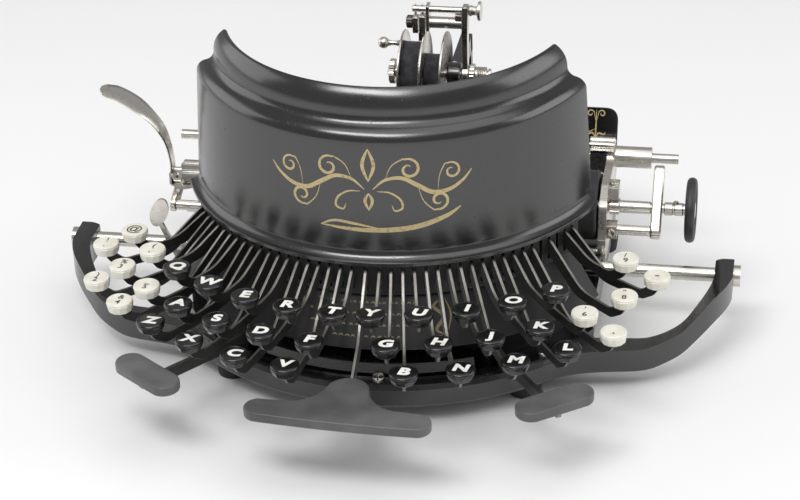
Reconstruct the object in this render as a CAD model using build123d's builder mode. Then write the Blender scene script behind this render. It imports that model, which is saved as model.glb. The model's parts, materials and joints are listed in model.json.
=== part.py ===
from build123d import *
import os
from math import cos, radians, sin

os.makedirs("parts", exist_ok=True)

# Half-round typewriter with upright type bars behind a curved shield.
# Millimetres. +X is the typist's right, +Y the back and +Z up. The origin is on the table under
# the middle of the machine. The keys, type bars and shield share one upright basket axis, and
# (r, z) below means a place in the upright plane at some angle round that axis.
BASKET_Y = 60.0
BASE_Z = 10.0
FIT = 0.05  # radial clearance of every turning or sliding fit

# Keyboard: a key sits in a comb slot, counted from the middle, and in one of three rows.
SLOT_OFFSET = 0.6
SLOT_PITCH = 2.95
ROWS = {
    1: {"radius": 146.0, "top": 74.8, "floor": 63.8, "bend": 124.0},
    2: {"radius": 159.2, "top": 66.3, "floor": 55.0, "bend": 131.0},
    3: {"radius": 170.2, "top": 58.0, "floor": 46.8, "bend": 138.0},
}
KEYS = {
    1: {"fig": -19, "comma": -16, "q": -13, "w": -10, "e": -7, "r": -4, "t": -1,
        "y": 1, "u": 4, "i": 7, "o": 10, "p": 13, "9": 19},
    2: {"exclaim": -20, "3": -17, "5": -14, "a": -11, "s": -8, "d": -5, "f": -2,
        "g": 2, "h": 5, "j": 8, "k": 11, "6": 14, "8": 17, "dash": 20},
    3: {"2": -18, "4": -15, "z": -12, "x": -9, "c": -6, "v": -3,
        "b": 3, "n": 6, "m": 9, "l": 12, "dot": 15},
}
WHITE_KEYS = ("fig", "comma", "exclaim", "3", "5", "2", "4", "9", "dash", "8", "6", "dot")
CAP_RADIUS = 6.8
CAP_HEIGHT = 5.5
CAP_DISC = 2.0
LEVER_THICKNESS = 1.4
LEVER_DEPTH = 4.8
LEVER_INNER = 95.8
PIVOT_R = 100.0
PIVOT_Z = 72.0
PIVOT_WIRE = 1.2

# Comb, type bars and shield
COMB_INNER = 82.0
COMB_OUTER = 108.0
COMB_BOTTOM = 62.0
COMB_TOP = 78.5
COMB_HALF_ANGLE = 62.5
SLOT_WIDTH = 1.9
SLOT_FLOOR = 65.5
FLANGE_END_Y = -35.0
FLANGE_TOP = 84.5
WALL_END_Y = -31.0

# Base casting
RIM_RADIUS = 128.0
DECK_TOP = 18.0
RIM_TOP = 23.0
WALL_INNER = 92.0
WALL_OUTER = 96.0
RAIL_INNER_X = 92.0
RAIL_OUTER_X = 104.0
RAIL_TOP = 28.0
BACK_Y = 70.0
CROSS_ROD_Y = -18.0
CROSS_ROD_Z = 32.0
CROSS_ROD_R = 3.7
WING_END_X = 172.0

# Carriage, which rests a little to the right of the middle
CARRIAGE_X = 4.0
SIDE_PLATE_X = 98.0
PLATEN_Y = 5.0
PLATEN_Z = 56.0
PLATEN_R = 18.0
SHAFT_R = 2.5
SLEEVE_R = 3.3
END_BAR_X = 127.0
REAR_ROD_Y = 45.0
REAR_ROD_Z = 64.0
REAR_ROD_R = 2.6
FRONT_ROD_Y = -7.0
FRONT_ROD_Z = 35.0
FRONT_ROD_R = 3.0
BEARING_X = 22.0

# Ribbon mechanism
RIBBON_Y = 30.0
RIBBON_Z = 115.0
SPOOL_RADIUS = 22.0


def at(x, y, z):
    """A place given from the basket axis, in the frame of the whole machine."""
    return (x, BASKET_Y + y, z)


def radial_plane(angle):
    """Upright plane through the basket axis: local x is the radius, local y is the height."""
    a = radians(angle)
    return Plane(origin=at(0, 0, 0), x_dir=(sin(a), -cos(a), 0), z_dir=(-cos(a), -sin(a), 0))


def flat_plane(radius, angle, z):
    """Level plane at a radius and an angle, with local x pointing outwards."""
    a = radians(angle)
    place = at(radius * sin(a), -radius * cos(a), z)
    return Plane(origin=place, x_dir=(sin(a), -cos(a), 0), z_dir=(0, 0, 1))


def side_plane(x):
    """Plane across the machine at x: local x is +Y from the basket axis, local y is the height."""
    return Plane(origin=at(x, 0, 0), x_dir=(0, 1, 0), z_dir=(1, 0, 0))


BASKET_AXIS = Axis(at(0, 0, 0), (0, 0, 1))


def ring(profile, half_angle):
    """A closed (r, z) outline swept round the basket axis, the same angle to each side."""
    with BuildPart() as swept:
        with BuildSketch(radial_plane(-half_angle)):
            with BuildLine():
                Polyline(*profile, close=True)
            make_face()
        revolve(axis=BASKET_AXIS, revolution_arc=2 * half_angle)
    return swept.part


def slot_angle(slot):
    """Angle of a comb slot, where slot 0 is the space bar's."""
    if slot == 0:
        return 0.0
    side = 1 if slot > 0 else -1
    return side * (SLOT_OFFSET + SLOT_PITCH * abs(slot))


def save(name, shape):
    """Label one finished piece and write its file."""
    shape.label = name
    export_step(shape, f"parts/{name}.step")


def rod(start_x, end_x, y, z, radius):
    """A round rod along X."""
    with BuildPart() as bar:
        with BuildSketch(side_plane(start_x)):
            with Locations((y, z)):
                Circle(radius)
        extrude(amount=end_x - start_x)
    return bar.part


def group(name, pieces):
    """Several loose solids written as one node."""
    save(name, Compound(label=name, children=pieces))


# --- Keys -------------------------------------------------------------------------------------
def lever_outline(row):
    """Outline of a key lever: level in the comb, down the slope, then a toe up to the cap."""
    radius = row["radius"]
    floor = row["floor"]
    low = floor - LEVER_DEPTH
    cap_bottom = row["top"] - CAP_HEIGHT
    top = [(LEVER_INNER, 76.0), (109.0, 75.6), (row["bend"], floor + 1.5), (radius - 9, floor)]
    toe = [(radius - 2.8, cap_bottom), (radius + 2.6, cap_bottom), (radius - 1.5, cap_bottom - 6.2)]
    bottom = [(radius - 8, low), (row["bend"] - 4, low + 1.5), (108.0, 67.8), (LEVER_INNER, 67.8)]
    return top + toe + bottom


def key_lever(slot, row):
    """Flat steel lever in its radial plane, with the fulcrum hole through it."""
    radii = [1.5, 5, 20, 5, 0.3, 0.8, 5, 6, 16, 5, 1.5]
    with BuildPart() as lever:
        with BuildSketch(radial_plane(slot_angle(slot))):
            with BuildLine():
                FilletPolyline(*lever_outline(row), radius=radii, close=True)
            make_face()
            with Locations((PIVOT_R, PIVOT_Z)):
                Circle(PIVOT_WIRE + FIT, mode=Mode.SUBTRACT)
        extrude(amount=LEVER_THICKNESS / 2, both=True)
    return lever.part


def key_cap(slot, row, sides):
    """Turned disc on a faceted skirt that narrows downwards."""
    skirt = CAP_HEIGHT - CAP_DISC
    bottom = row["top"] - CAP_HEIGHT
    plane = flat_plane(row["radius"], slot_angle(slot), bottom)
    with BuildPart() as cap:
        with BuildSketch(plane):
            RegularPolygon(CAP_RADIUS - 1.7, sides)
        with BuildSketch(plane.offset(skirt)):
            RegularPolygon(CAP_RADIUS - 0.4, sides)
        loft()
        with BuildSketch(plane.offset(skirt)):
            Circle(CAP_RADIUS)
        extrude(amount=CAP_DISC)
        fillet(cap.edges().group_by(Axis.Z)[-1], 0.6)
    return cap.part


for row_number, row_keys in KEYS.items():
    for key, slot in row_keys.items():
        facets = 12 if key in WHITE_KEYS else 9
        row = ROWS[row_number]
        group(f"key_{key}", [key_lever(slot, row), key_cap(slot, row, facets)])

# --- Space bar and shift keys -----------------------------------------------------------------
PAD_THICKNESS = 5.0
SPACE_TOP = 42.0
SPACE_MIDDLE = 182.0
SPACE_HALF = 44.5
SPACE_X = -1.2
SPACE_SKEW = -3.0
SHIFT_TOP = 44.0
SHIFT_R = 187.0
SHIFT_ANGLE = 31.2
SHIFT_SKEW = 0.17
SHIFT_PIVOT_R = 112.0
SHIFT_PIVOT_Z = 31.0
SHIFT_PIN_R = 1.5
ARM_THICKNESS = 2.4


def space_pad():
    """Moustache-shaped bar with a neck that runs back over its arm."""
    skew = radians(SPACE_SKEW)
    place = at(SPACE_X, -SPACE_MIDDLE, SPACE_TOP - PAD_THICKNESS)
    plane = Plane(origin=place, x_dir=(cos(skew), sin(skew), 0), z_dir=(0, 0, 1))
    with BuildPart() as pad:
        with BuildSketch(plane):
            with BuildLine():
                front = ThreePointArc((0, -8.2), (20, -7.885), (39, -7.0))
                end = ThreePointArc(front @ 1, (SPACE_HALF, 0), (39.5, 6.5))
                shoulder = Line(end @ 1, (25, 7.0))
                flare = ThreePointArc(shoulder @ 1, (15, 12.5), (10, 23.0))
                ThreePointArc(flare @ 1, (6.4, 28.75), (0, 31.0))
                mirror(about=Plane.YZ)
            make_face()
        extrude(amount=PAD_THICKNESS)
    return pad.part


def space_arm():
    """Flat arm that carries the space bar from the middle slot of the comb."""
    bottom = SPACE_TOP - PAD_THICKNESS
    outline = [(LEVER_INNER, 76.0), (109.0, 75.6), (134.0, 50.0), (160.0, bottom), (180.0, bottom),
               (180.0, bottom - 3.0), (158.0, bottom - 5.0), (131.0, 43.0), (108.0, 67.8),
               (LEVER_INNER, 67.8)]
    with BuildPart() as arm:
        with BuildSketch(radial_plane(0)):
            with BuildLine():
                FilletPolyline(*outline, radius=[1.5, 6, 12, 2, 0.8, 1.2, 8, 12, 6, 1.5], close=True)
            make_face()
            with Locations((PIVOT_R, PIVOT_Z)):
                Circle(PIVOT_WIRE + FIT, mode=Mode.SUBTRACT)
        extrude(amount=LEVER_THICKNESS / 2, both=True)
    return arm.part


def shift_pad(angle):
    """Rounded shift key pad, set square to its arm."""
    plane = flat_plane(SHIFT_R, angle, SHIFT_TOP - PAD_THICKNESS)
    with BuildPart() as pad:
        with BuildSketch(plane):
            SlotOverall(40, 15, rotation=90 + angle * SHIFT_SKEW)
        extrude(amount=PAD_THICKNESS)
        fillet(pad.faces().sort_by(Axis.Z)[-1].edges(), 1.2)
    return pad.part


def shift_arm(angle):
    """Low radial arm of a shift key, on a cross pin between two ears of the base."""
    top = SHIFT_TOP - PAD_THICKNESS
    outline = [(SHIFT_PIVOT_R - 4, 34.0), (132.0, 34.0), (176.0, top), (192.0, top), (192.0, top - 3),
               (178.0, top - 6), (130.0, 28.0), (SHIFT_PIVOT_R - 4, 28.0)]
    with BuildPart() as arm:
        with BuildSketch(radial_plane(angle)):
            with BuildLine():
                FilletPolyline(*outline, radius=[2.8, 10, 2, 0.8, 1.2, 8, 10, 2.8], close=True)
            make_face()
            with Locations((SHIFT_PIVOT_R, SHIFT_PIVOT_Z)):
                Circle(SHIFT_PIN_R + FIT, mode=Mode.SUBTRACT)
        extrude(amount=ARM_THICKNESS / 2, both=True)
    return arm.part


group("space_bar", [space_pad(), space_arm()])
group("shift_key_left", [shift_pad(-SHIFT_ANGLE), shift_arm(-SHIFT_ANGLE)])
group("shift_key_right", [shift_pad(SHIFT_ANGLE), shift_arm(SHIFT_ANGLE)])

# --- Comb, fulcrum wire, type bars, shield, name plate ----------------------------------------
LAST_SLOT = 20
TYPE_BAR_FOOT_R = 88.0
TYPE_BAR_HEAD_R = 83.0
TYPE_BAR_TOP = 150.0
TYPE_HEAD_HEIGHT = 6.0

with BuildPart() as comb:
    add(ring([(COMB_INNER, COMB_BOTTOM), (COMB_OUTER, COMB_BOTTOM), (COMB_OUTER, COMB_TOP),
              (94.0, COMB_TOP), (94.0, 76.0), (COMB_INNER, 76.0)], COMB_HALF_ANGLE))
    for slot in range(-LAST_SLOT, LAST_SLOT + 1):
        with BuildSketch(radial_plane(slot_angle(slot))):
            with BuildLine():
                Polyline((95.0, SLOT_FLOOR), (110.0, SLOT_FLOOR - 1), (110.0, 80.0), (95.0, 80.0),
                         close=True)
            make_face()
        extrude(amount=SLOT_WIDTH / 2, both=True, mode=Mode.SUBTRACT)
    with BuildSketch(radial_plane(-COMB_HALF_ANGLE)):
        with Locations((PIVOT_R, PIVOT_Z)):
            Circle(PIVOT_WIRE)
    revolve(axis=BASKET_AXIS, revolution_arc=2 * COMB_HALF_ANGLE)
save("segment_comb", comb.part)


def type_bar(slot):
    """Upright bar with the type block on its inner side."""
    plane = radial_plane(slot_angle(slot))
    head = TYPE_BAR_TOP - TYPE_HEAD_HEIGHT
    with BuildPart() as bar:
        with BuildSketch(plane):
            with BuildLine():
                Polyline((TYPE_BAR_FOOT_R - 3, 76.0), (TYPE_BAR_FOOT_R + 3, 76.0),
                         (TYPE_BAR_HEAD_R + 2, head), (TYPE_BAR_HEAD_R - 1, head), close=True)
            make_face()
        extrude(amount=0.8, both=True)
        with BuildSketch(plane):
            with BuildLine():
                Polyline((TYPE_BAR_HEAD_R - 4.5, head), (TYPE_BAR_HEAD_R + 2, head),
                         (TYPE_BAR_HEAD_R + 1.5, TYPE_BAR_TOP), (TYPE_BAR_HEAD_R - 5, TYPE_BAR_TOP),
                         close=True)
            make_face()
        extrude(amount=1.3, both=True)
    return bar.part


key_slots = sorted(slot for row_keys in KEYS.values() for slot in row_keys.values())
group("type_bars", [type_bar(slot) for slot in key_slots])

with BuildPart() as shield:
    with BuildSketch(radial_plane(-75)):
        with BuildLine():
            edge = Polyline((110.0, 78.5), (110.0, 80.5))
            flare = ThreePointArc(edge @ 1, (106.8, 81.9), (105.2, 86.0))
            wall = Line(flare @ 1, (102.4, 140.6))
            shoulder = ThreePointArc(wall @ 1, (101.0, 143.9), (97.6, 146.2))
            cove = ThreePointArc(shoulder @ 1, (94.6, 148.2), (93.5, 151.5))
            ridge = ThreePointArc(cove @ 1, (92.2, 157.5), (88.0, 163.0))
            lip = Line(ridge @ 1, (86.2, 161.8))
            ridge_in = ThreePointArc(lip @ 1, (90.3, 156.6), (91.5, 151.0))
            cove_in = ThreePointArc(ridge_in @ 1, (92.7, 147.0), (96.2, 144.4))
            shoulder_in = ThreePointArc(cove_in @ 1, (99.2, 142.6), (100.4, 140.3))
            wall_in = Line(shoulder_in @ 1, (103.2, 86.0))
            flare_in = Line(wall_in @ 1, (103.2, 78.5))
            Line(flare_in @ 1, edge @ 0)
        make_face()
    revolve(axis=BASKET_AXIS, revolution_arc=150)
    for end_y, height in ((FLANGE_END_Y, FLANGE_TOP), (WALL_END_Y, 200.0)):
        with BuildSketch(Plane(origin=at(0, end_y + 50, 0), z_dir=(0, 0, 1))):
            Rectangle(260, 100)
        extrude(amount=height, mode=Mode.SUBTRACT)
save("type_shield", shield.part)

save("name_plate", ring([(103.0, DECK_TOP), (105.5, DECK_TOP), (105.5, 58.5), (120.6, 38.6),
                         (122.2, 39.8), (105.0, 62.0), (103.0, 62.0)], 61.5))

# --- Base casting -----------------------------------------------------------------------------
WING_INNER = [(100.0, -70.5), (116.0, -69.0), (130.0, -67.5), (140.0, -65.0), (147.5, -59.5),
              (154.5, -50.0), (159.5, -41.0), (162.3, -32.0), (162.6, -24.0)]
WING_OUTER = [(172.0, -30.0), (168.0, -44.0), (162.4, -54.0), (155.0, -62.5), (147.0, -70.0),
              (139.0, -75.0), (130.0, -78.8), (115.0, -81.8), (100.0, -85.5), (84.0, -96.0)]
WING_BACK = -12.5
WING_BOTTOM = [(70.0, 10.0), (135.0, 10.0), (150.0, 14.5), (165.0, 24.5), (180.0, 26.0)]
WING_TOP = [(180.0, 38.5), (164.0, 38.5), (150.0, 27.0), (132.0, 22.0), (70.0, 22.0)]


def wing(side):
    """Curved side arm of the casting: one outline from above, cut to its height from the front."""
    front = [(side * x, z) for x, z in WING_BOTTOM + WING_TOP]
    with BuildPart() as arm:
        with BuildSketch(Plane(origin=at(0, 0, 0), z_dir=(0, 0, 1))):
            with BuildLine():
                inner = Spline(*[(side * x, y) for x, y in WING_INNER])
                end = Polyline(inner @ 1, (side * 162.6, WING_BACK), (side * WING_END_X, WING_BACK),
                               (side * WING_OUTER[0][0], WING_OUTER[0][1]))
                outer = Spline(end @ 1, *[(side * x, y) for x, y in WING_OUTER[1:]])
                Polyline(outer @ 1, (side * 80.0, -80.0), inner @ 0)
            make_face()
        extrude(amount=60)
        with BuildSketch(Plane(origin=at(0, 0, 0), x_dir=(1, 0, 0), z_dir=(0, -1, 0))):
            with BuildLine():
                FilletPolyline(*front, radius=[0.5, 30, 20, 12, 0.5, 1.2, 10, 15, 30, 0.5], close=True)
            make_face()
        extrude(amount=120, mode=Mode.INTERSECT)
    return arm.part


def block(x0, x1, y0, y1, z0, z1):
    """A plain block between two corners, given from the basket axis."""
    with BuildPart() as solid:
        with BuildSketch(Plane(origin=at((x0 + x1) / 2, (y0 + y1) / 2, z0), z_dir=(0, 0, 1))):
            Rectangle(x1 - x0, y1 - y0)
        extrude(amount=z1 - z0)
    return solid.part


HALF_ROUND_RAIL = [(107.0, DECK_TOP), (118.0, DECK_TOP), (118.0, 23.5), (116.4, 28.2), (112.5, 30.9),
                   (108.6, 28.2), (107.0, 23.5)]
GUIDE_HALF_WIDTH = 7.0
GUIDE_TOP = 26.0

with BuildPart() as base:
    add(ring([(98.0, 12.0), (118.0, 12.0), (118.0, BASE_Z), (RIM_RADIUS - 1.0, BASE_Z), (RIM_RADIUS, 11.5),
              (RIM_RADIUS, 20.0), (RIM_RADIUS - 1.2, 22.4), (RIM_RADIUS - 3, RIM_TOP), (120.5, RIM_TOP),
              (118.5, DECK_TOP), (98.0, DECK_TOP)], 44))
    add(ring([(WALL_INNER, BASE_Z), (118.0, BASE_Z), (118.0, DECK_TOP), (WALL_OUTER, DECK_TOP),
              (WALL_OUTER, COMB_BOTTOM), (WALL_INNER, COMB_BOTTOM)], COMB_HALF_ANGLE))
    for side in (-1, 1):
        add(wing(side))
        rail = sorted((side * RAIL_INNER_X, side * RAIL_OUTER_X))
        add(block(rail[0], rail[1], -50, BACK_Y, BASE_Z, RAIL_TOP))
        add(rod(rail[0], rail[1], CROSS_ROD_Y, CROSS_ROD_Z, 5.8))
        guide_x = side * BEARING_X
        front_y = 2 - WALL_INNER
        add(block(guide_x - GUIDE_HALF_WIDTH, guide_x + GUIDE_HALF_WIDTH, front_y, BACK_Y,
                  BASE_Z, GUIDE_TOP))
        for edge in (-1, 1):
            ear = radial_plane(side * SHIFT_ANGLE).offset(edge * 3.3)
            with BuildSketch(ear):
                with Locations((SHIFT_PIVOT_R, SHIFT_PIVOT_Z)):
                    Circle(4)
                with Locations((SHIFT_PIVOT_R, (SHIFT_PIVOT_Z + DECK_TOP) / 2)):
                    Rectangle(8, SHIFT_PIVOT_Z - DECK_TOP)
                with Locations((SHIFT_PIVOT_R, SHIFT_PIVOT_Z)):
                    Circle(SHIFT_PIN_R, mode=Mode.SUBTRACT)
            extrude(amount=0.8, both=True)
    add(block(-RAIL_OUTER_X, RAIL_OUTER_X, 58, 74, BASE_Z, RAIL_TOP))
    add(ring(HALF_ROUND_RAIL, 26))
    with BuildSketch(side_plane(-WING_END_X - 5)):
        with Locations((CROSS_ROD_Y, CROSS_ROD_Z)):
            Circle(CROSS_ROD_R)
    extrude(amount=2 * WING_END_X + 10, mode=Mode.SUBTRACT)
save("base_frame", base.part)


def cross_rod():
    """Long nickelled rod through both wing ends, with a cap nut at each end."""
    with BuildPart() as long_rod:
        add(rod(-WING_END_X, WING_END_X, CROSS_ROD_Y, CROSS_ROD_Z, CROSS_ROD_R))
        for side in (-1, 1):
            ends = sorted((side * WING_END_X, side * (WING_END_X + 3.5)))
            add(rod(ends[0], ends[1], CROSS_ROD_Y, CROSS_ROD_Z, 5.5))
    return long_rod.part


with BuildPart() as foot:
    with BuildSketch(Plane.XY):
        Circle(8.0)
    with BuildSketch(Plane.XY.offset(BASE_Z)):
        Circle(9.0)
    loft()
FOOT_PLACES = [(-74, -88), (74, -88), (-98, 60), (98, 60)]
group("rubber_feet", [Pos(*at(x, y, 0)) * foot.part for x, y in FOOT_PLACES])

with BuildPart() as screw:
    with BuildSketch(Plane.XY):
        Circle(3.2)
    extrude(amount=1.8)
    fillet(screw.faces().sort_by(Axis.Z)[-1].edges(), 0.7)
    with BuildSketch(Plane.XY.offset(1.0)):
        Rectangle(8, 0.9)
    extrude(amount=1.0, mode=Mode.SUBTRACT)
SCREW_R = 121.8
screw_places = [flat_plane(SCREW_R, angle, RIM_TOP) for angle in (-43, 3.2, 43)]
screws = [place.location * screw.part for place in screw_places]
shift_pins = []
for side in (-1, 1):
    with BuildPart() as pin:
        with BuildSketch(radial_plane(side * SHIFT_ANGLE).offset(-4.6)):
            with Locations((SHIFT_PIVOT_R, SHIFT_PIVOT_Z)):
                Circle(SHIFT_PIN_R)
        extrude(amount=9.2)
    shift_pins.append(pin.part)

THUMB_BLADE = (-124.0, -30.0, 56.5)
THUMB_TILT = 20.0
THUMB_LONG, THUMB_WIDE = 17.0, 9.0
with BuildPart() as thumb_lever:
    tilt = radians(THUMB_TILT)
    with BuildSketch(Plane(origin=at(*THUMB_BLADE), x_dir=(cos(tilt), 0, -sin(tilt)), z_dir=(0, -1, 0))):
        Ellipse(THUMB_WIDE / 2, THUMB_LONG / 2)
    extrude(amount=0.7, both=True)
    with BuildSketch(Plane(origin=at(0, THUMB_BLADE[1], 0), x_dir=(1, 0, 0), z_dir=(0, -1, 0))):
        with BuildLine():
            Polyline((-122.5, 50.5), (-116.0, 36.0), (-111.0, 26.5), (-RAIL_OUTER_X, 26.5),
                     (-RAIL_OUTER_X, 22.0), (-113.5, 22.0), (-118.5, 34.5), (-124.5, 49.5), close=True)
        make_face()
    extrude(amount=1.0, both=True)
group("frame_hardware", [cross_rod(), thumb_lever.part] + screws + shift_pins)

# --- Shift frame: slides back and carries the carriage -----------------------------------------
FRAME_GAP = 0.35
FRAME_TOP = 31.0

with BuildPart() as shift_frame:
    for side in (-1, 1):
        x = side * BEARING_X
        add(block(x - 6, x + 6, -12.5, 52, GUIDE_TOP + FRAME_GAP, FRAME_TOP))
        add(block(x - 6, x + 6, FRONT_ROD_Y - 5, FRONT_ROD_Y + 5,
                  FRAME_TOP, FRONT_ROD_Z - FRONT_ROD_R - 0.3))
        add(block(x - 6, x + 6, 39.5, 49.3, FRAME_TOP, REAR_ROD_Z))
        add(rod(x - 6, x + 6, REAR_ROD_Y - 0.6, REAR_ROD_Z, 4.9))
    add(block(-BEARING_X, BEARING_X, 27, 35, GUIDE_TOP + FRAME_GAP, FRAME_TOP))
    with BuildSketch(side_plane(-BEARING_X - 10)):
        with Locations((REAR_ROD_Y, REAR_ROD_Z)):
            Circle(REAR_ROD_R + FIT)
    extrude(amount=2 * BEARING_X + 20, mode=Mode.SUBTRACT)
save("shift_frame", shift_frame.part)

# --- Carriage ---------------------------------------------------------------------------------
LEFT = CARRIAGE_X - SIDE_PLATE_X
RIGHT = CARRIAGE_X + SIDE_PLATE_X
BAR_RIGHT = CARRIAGE_X + END_BAR_X
BAR_LEFT = CARRIAGE_X - END_BAR_X
LOWER_ROD_Y = -5.0
LOWER_ROD_Z = 47.8
KNOB_X = CARRIAGE_X + 144.3
FEED_Y = 18.0
FEED_Z = 36.6


def side_plate(x, side):
    """Carriage side plate, with the platen bearing and the ends of both tie rods."""
    outline = [(-11, 32), (-4, 30.5), (22, 30.5), (34, 40), (51.6, 54), (51.6, 67), (46, 70.5), (32, 67),
               (8, 67), (-6, 62), (-11, 44)]
    with BuildPart() as plate:
        with BuildSketch(side_plane(x)):
            with BuildLine():
                FilletPolyline(*outline, radius=[4, 4, 6, 8, 6, 4, 4, 10, 6, 6, 4], close=True)
            make_face()
            with Locations((PLATEN_Y, PLATEN_Z)):
                Circle(SHAFT_R + FIT, mode=Mode.SUBTRACT)
        extrude(amount=side * 4)
    return plate.part


with BuildPart() as carriage:
    add(side_plate(LEFT, -1))
    add(side_plate(RIGHT, 1))
    add(block(LEFT, RIGHT, 49.8, 52.88, 63, 66))
    add(rod(LEFT - 4, RIGHT + 4, FRONT_ROD_Y, FRONT_ROD_Z, FRONT_ROD_R))
    with BuildSketch(side_plane(LEFT - 6)):
        with Locations((FEED_Y, FEED_Z), (REAR_ROD_Y, REAR_ROD_Z)):
            Circle(REAR_ROD_R)
    extrude(amount=RIGHT - LEFT + 12, mode=Mode.SUBTRACT)
save("carriage_frame", carriage.part)


SLEEVE_END = 5.7
RIGHT_BAR = [(17.2, 70.1), (-4.3, 47.4)]
LEFT_BAR = [(20.0, 56.0), (-4.8, 48.0)]


def end_bar(x, ends, height, width):
    """Round-ended slanting bar outboard of a side plate, with the shaft's hole through it."""
    middle = ((ends[0][0] + ends[1][0]) / 2, (ends[0][1] + ends[1][1]) / 2)
    with BuildPart() as bar:
        with BuildSketch(side_plane(x - width / 2)):
            SlotCenterPoint(middle, ends[0], height)
        extrude(amount=width)
        fillet(bar.edges().filter_by(GeomType.LINE), 1.2)
        with BuildSketch(side_plane(x - 4)):
            with Locations((PLATEN_Y, PLATEN_Z)):
                Circle(SHAFT_R + FIT)
        extrude(amount=8, mode=Mode.SUBTRACT)
    return bar.part


def sleeve(start_x, end_x, y, z, outer, inner):
    """A tube along X."""
    with BuildPart() as tube:
        with BuildSketch(side_plane(start_x)):
            with Locations((y, z)):
                Circle(outer)
                Circle(inner, mode=Mode.SUBTRACT)
        extrude(amount=end_x - start_x)
    return tube.part


end_pieces = [
    end_bar(BAR_RIGHT, RIGHT_BAR, 8.0, 5.5),
    end_bar(BAR_LEFT, LEFT_BAR, 7.0, 3.6),
    rod(RIGHT + 4, BAR_RIGHT - 2.75, LOWER_ROD_Y, LOWER_ROD_Z, 2.7),
    rod(BAR_LEFT + 1.8, LEFT - 4, LOWER_ROD_Y, LOWER_ROD_Z, 2.7),
    sleeve(RIGHT + 4, RIGHT + 23, REAR_ROD_Y, REAR_ROD_Z, SLEEVE_END, REAR_ROD_R),
    sleeve(LEFT - 12, LEFT - 4, REAR_ROD_Y, REAR_ROD_Z, SLEEVE_END, REAR_ROD_R),
    rod(CARRIAGE_X - 134, CARRIAGE_X + 135, REAR_ROD_Y, REAR_ROD_Z, REAR_ROD_R),
]
group("carriage_rods", end_pieces)

with BuildPart() as feed_roller:
    add(rod(LEFT - 4, RIGHT + 4, FEED_Y, FEED_Z, SHAFT_R))
    add(rod(LEFT + 2, RIGHT - 2, FEED_Y, FEED_Z, 5.0))
save("feed_roller", feed_roller.part)

TABLE_WIDTH = 203.2
TABLE_LOW = (52.5, 60.0)
TABLE_HIGH = (62.7, 83.6)
TABLE_CORNER = 7.0
TABLE_THICKNESS = 1.6

table_run = Vector(*TABLE_HIGH) - Vector(*TABLE_LOW)
table_plane = Plane(origin=at(CARRIAGE_X, *TABLE_LOW), x_dir=(1, 0, 0),
                    z_dir=(0, -table_run.Y, table_run.X))
with BuildPart() as table:
    with BuildSketch(table_plane) as sheet:
        Rectangle(TABLE_WIDTH, table_run.length, align=(Align.CENTER, Align.MIN))
        fillet(sheet.vertices().group_by(Axis.Y)[-1], TABLE_CORNER)
    extrude(amount=TABLE_THICKNESS / 2, both=True)
save("paper_table", table.part)

with BuildPart() as platen:
    add(rod(LEFT + 1, RIGHT - 1, PLATEN_Y, PLATEN_Z, PLATEN_R))
    fillet(platen.edges(), 1.0)
    add(rod(BAR_LEFT - 3.5, KNOB_X + 1, PLATEN_Y, PLATEN_Z, SHAFT_R))
    add(rod(RIGHT + 4.3, BAR_RIGHT - 3.1, PLATEN_Y, PLATEN_Z, SLEEVE_R))
save("platen_roller", platen.part)

with BuildPart() as knob:
    add(rod(KNOB_X - 2.6, KNOB_X + 2.6, PLATEN_Y, PLATEN_Z, 16.8))
    fillet(knob.edges(), 2.4)
    add(rod(BAR_RIGHT + 3.6, KNOB_X - 2, PLATEN_Y, PLATEN_Z, 3.4))
    with BuildSketch(side_plane(BAR_RIGHT)):
        with Locations((PLATEN_Y, PLATEN_Z)):
            Circle(SHAFT_R)
    extrude(amount=KNOB_X + 1 - BAR_RIGHT, mode=Mode.SUBTRACT)
save("platen_knob", knob.part)

LEAF = [(-124.6, 61.5), (-124.9, 74.0), (-128.0, 87.0), (-135.0, 96.8), (-146.0, 105.0), (-159.5, 111.0)]
LEAF_THICKNESS = 1.6
LEAF_NORMALS = [(-0.38, 0.94), (-0.5, 0.87), (-0.7, 0.71), (-0.88, 0.45), (-1.0, 0.1), (-1.0, 0.0)]
LEAF_WIDTH = 13.0

with BuildPart() as return_lever:
    add(sleeve(LEFT - 16, LEFT - 4.3, PLATEN_Y, PLATEN_Z, 8.0, SHAFT_R + FIT))
    add(block(-125.4, LEFT - 8, -2, 9, 60.6, 63.0))
    with BuildSketch(Plane(origin=at(0, -4, 0), x_dir=(1, 0, 0), z_dir=(0, -1, 0))):
        with BuildLine():
            outer = Spline(*LEAF)
            inner = Spline(*[(x + LEAF_THICKNESS * dx, z + LEAF_THICKNESS * dz)
                             for (x, z), (dx, dz) in zip(reversed(LEAF), LEAF_NORMALS)])
            Line(outer @ 1, inner @ 0)
            Line(inner @ 1, outer @ 0)
        make_face()
    extrude(amount=-LEAF_WIDTH)
save("return_lever", return_lever.part)

# --- Ribbon mechanism -------------------------------------------------------------------------
AXLE_R = 2.5


def ribbon_spool(discs, pack, pack_radius):
    """Two thin discs, or one, on a wound ribbon."""
    with BuildPart() as spool:
        add(rod(pack[0], pack[1], RIBBON_Y, RIBBON_Z, pack_radius))
        for x in discs:
            add(rod(x, x + 1, RIBBON_Y, RIBBON_Z, SPOOL_RADIUS))
        with BuildSketch(side_plane(-30)):
            with Locations((RIBBON_Y, RIBBON_Z)):
                Circle(AXLE_R + FIT)
        extrude(amount=80, mode=Mode.SUBTRACT)
    return spool


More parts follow.
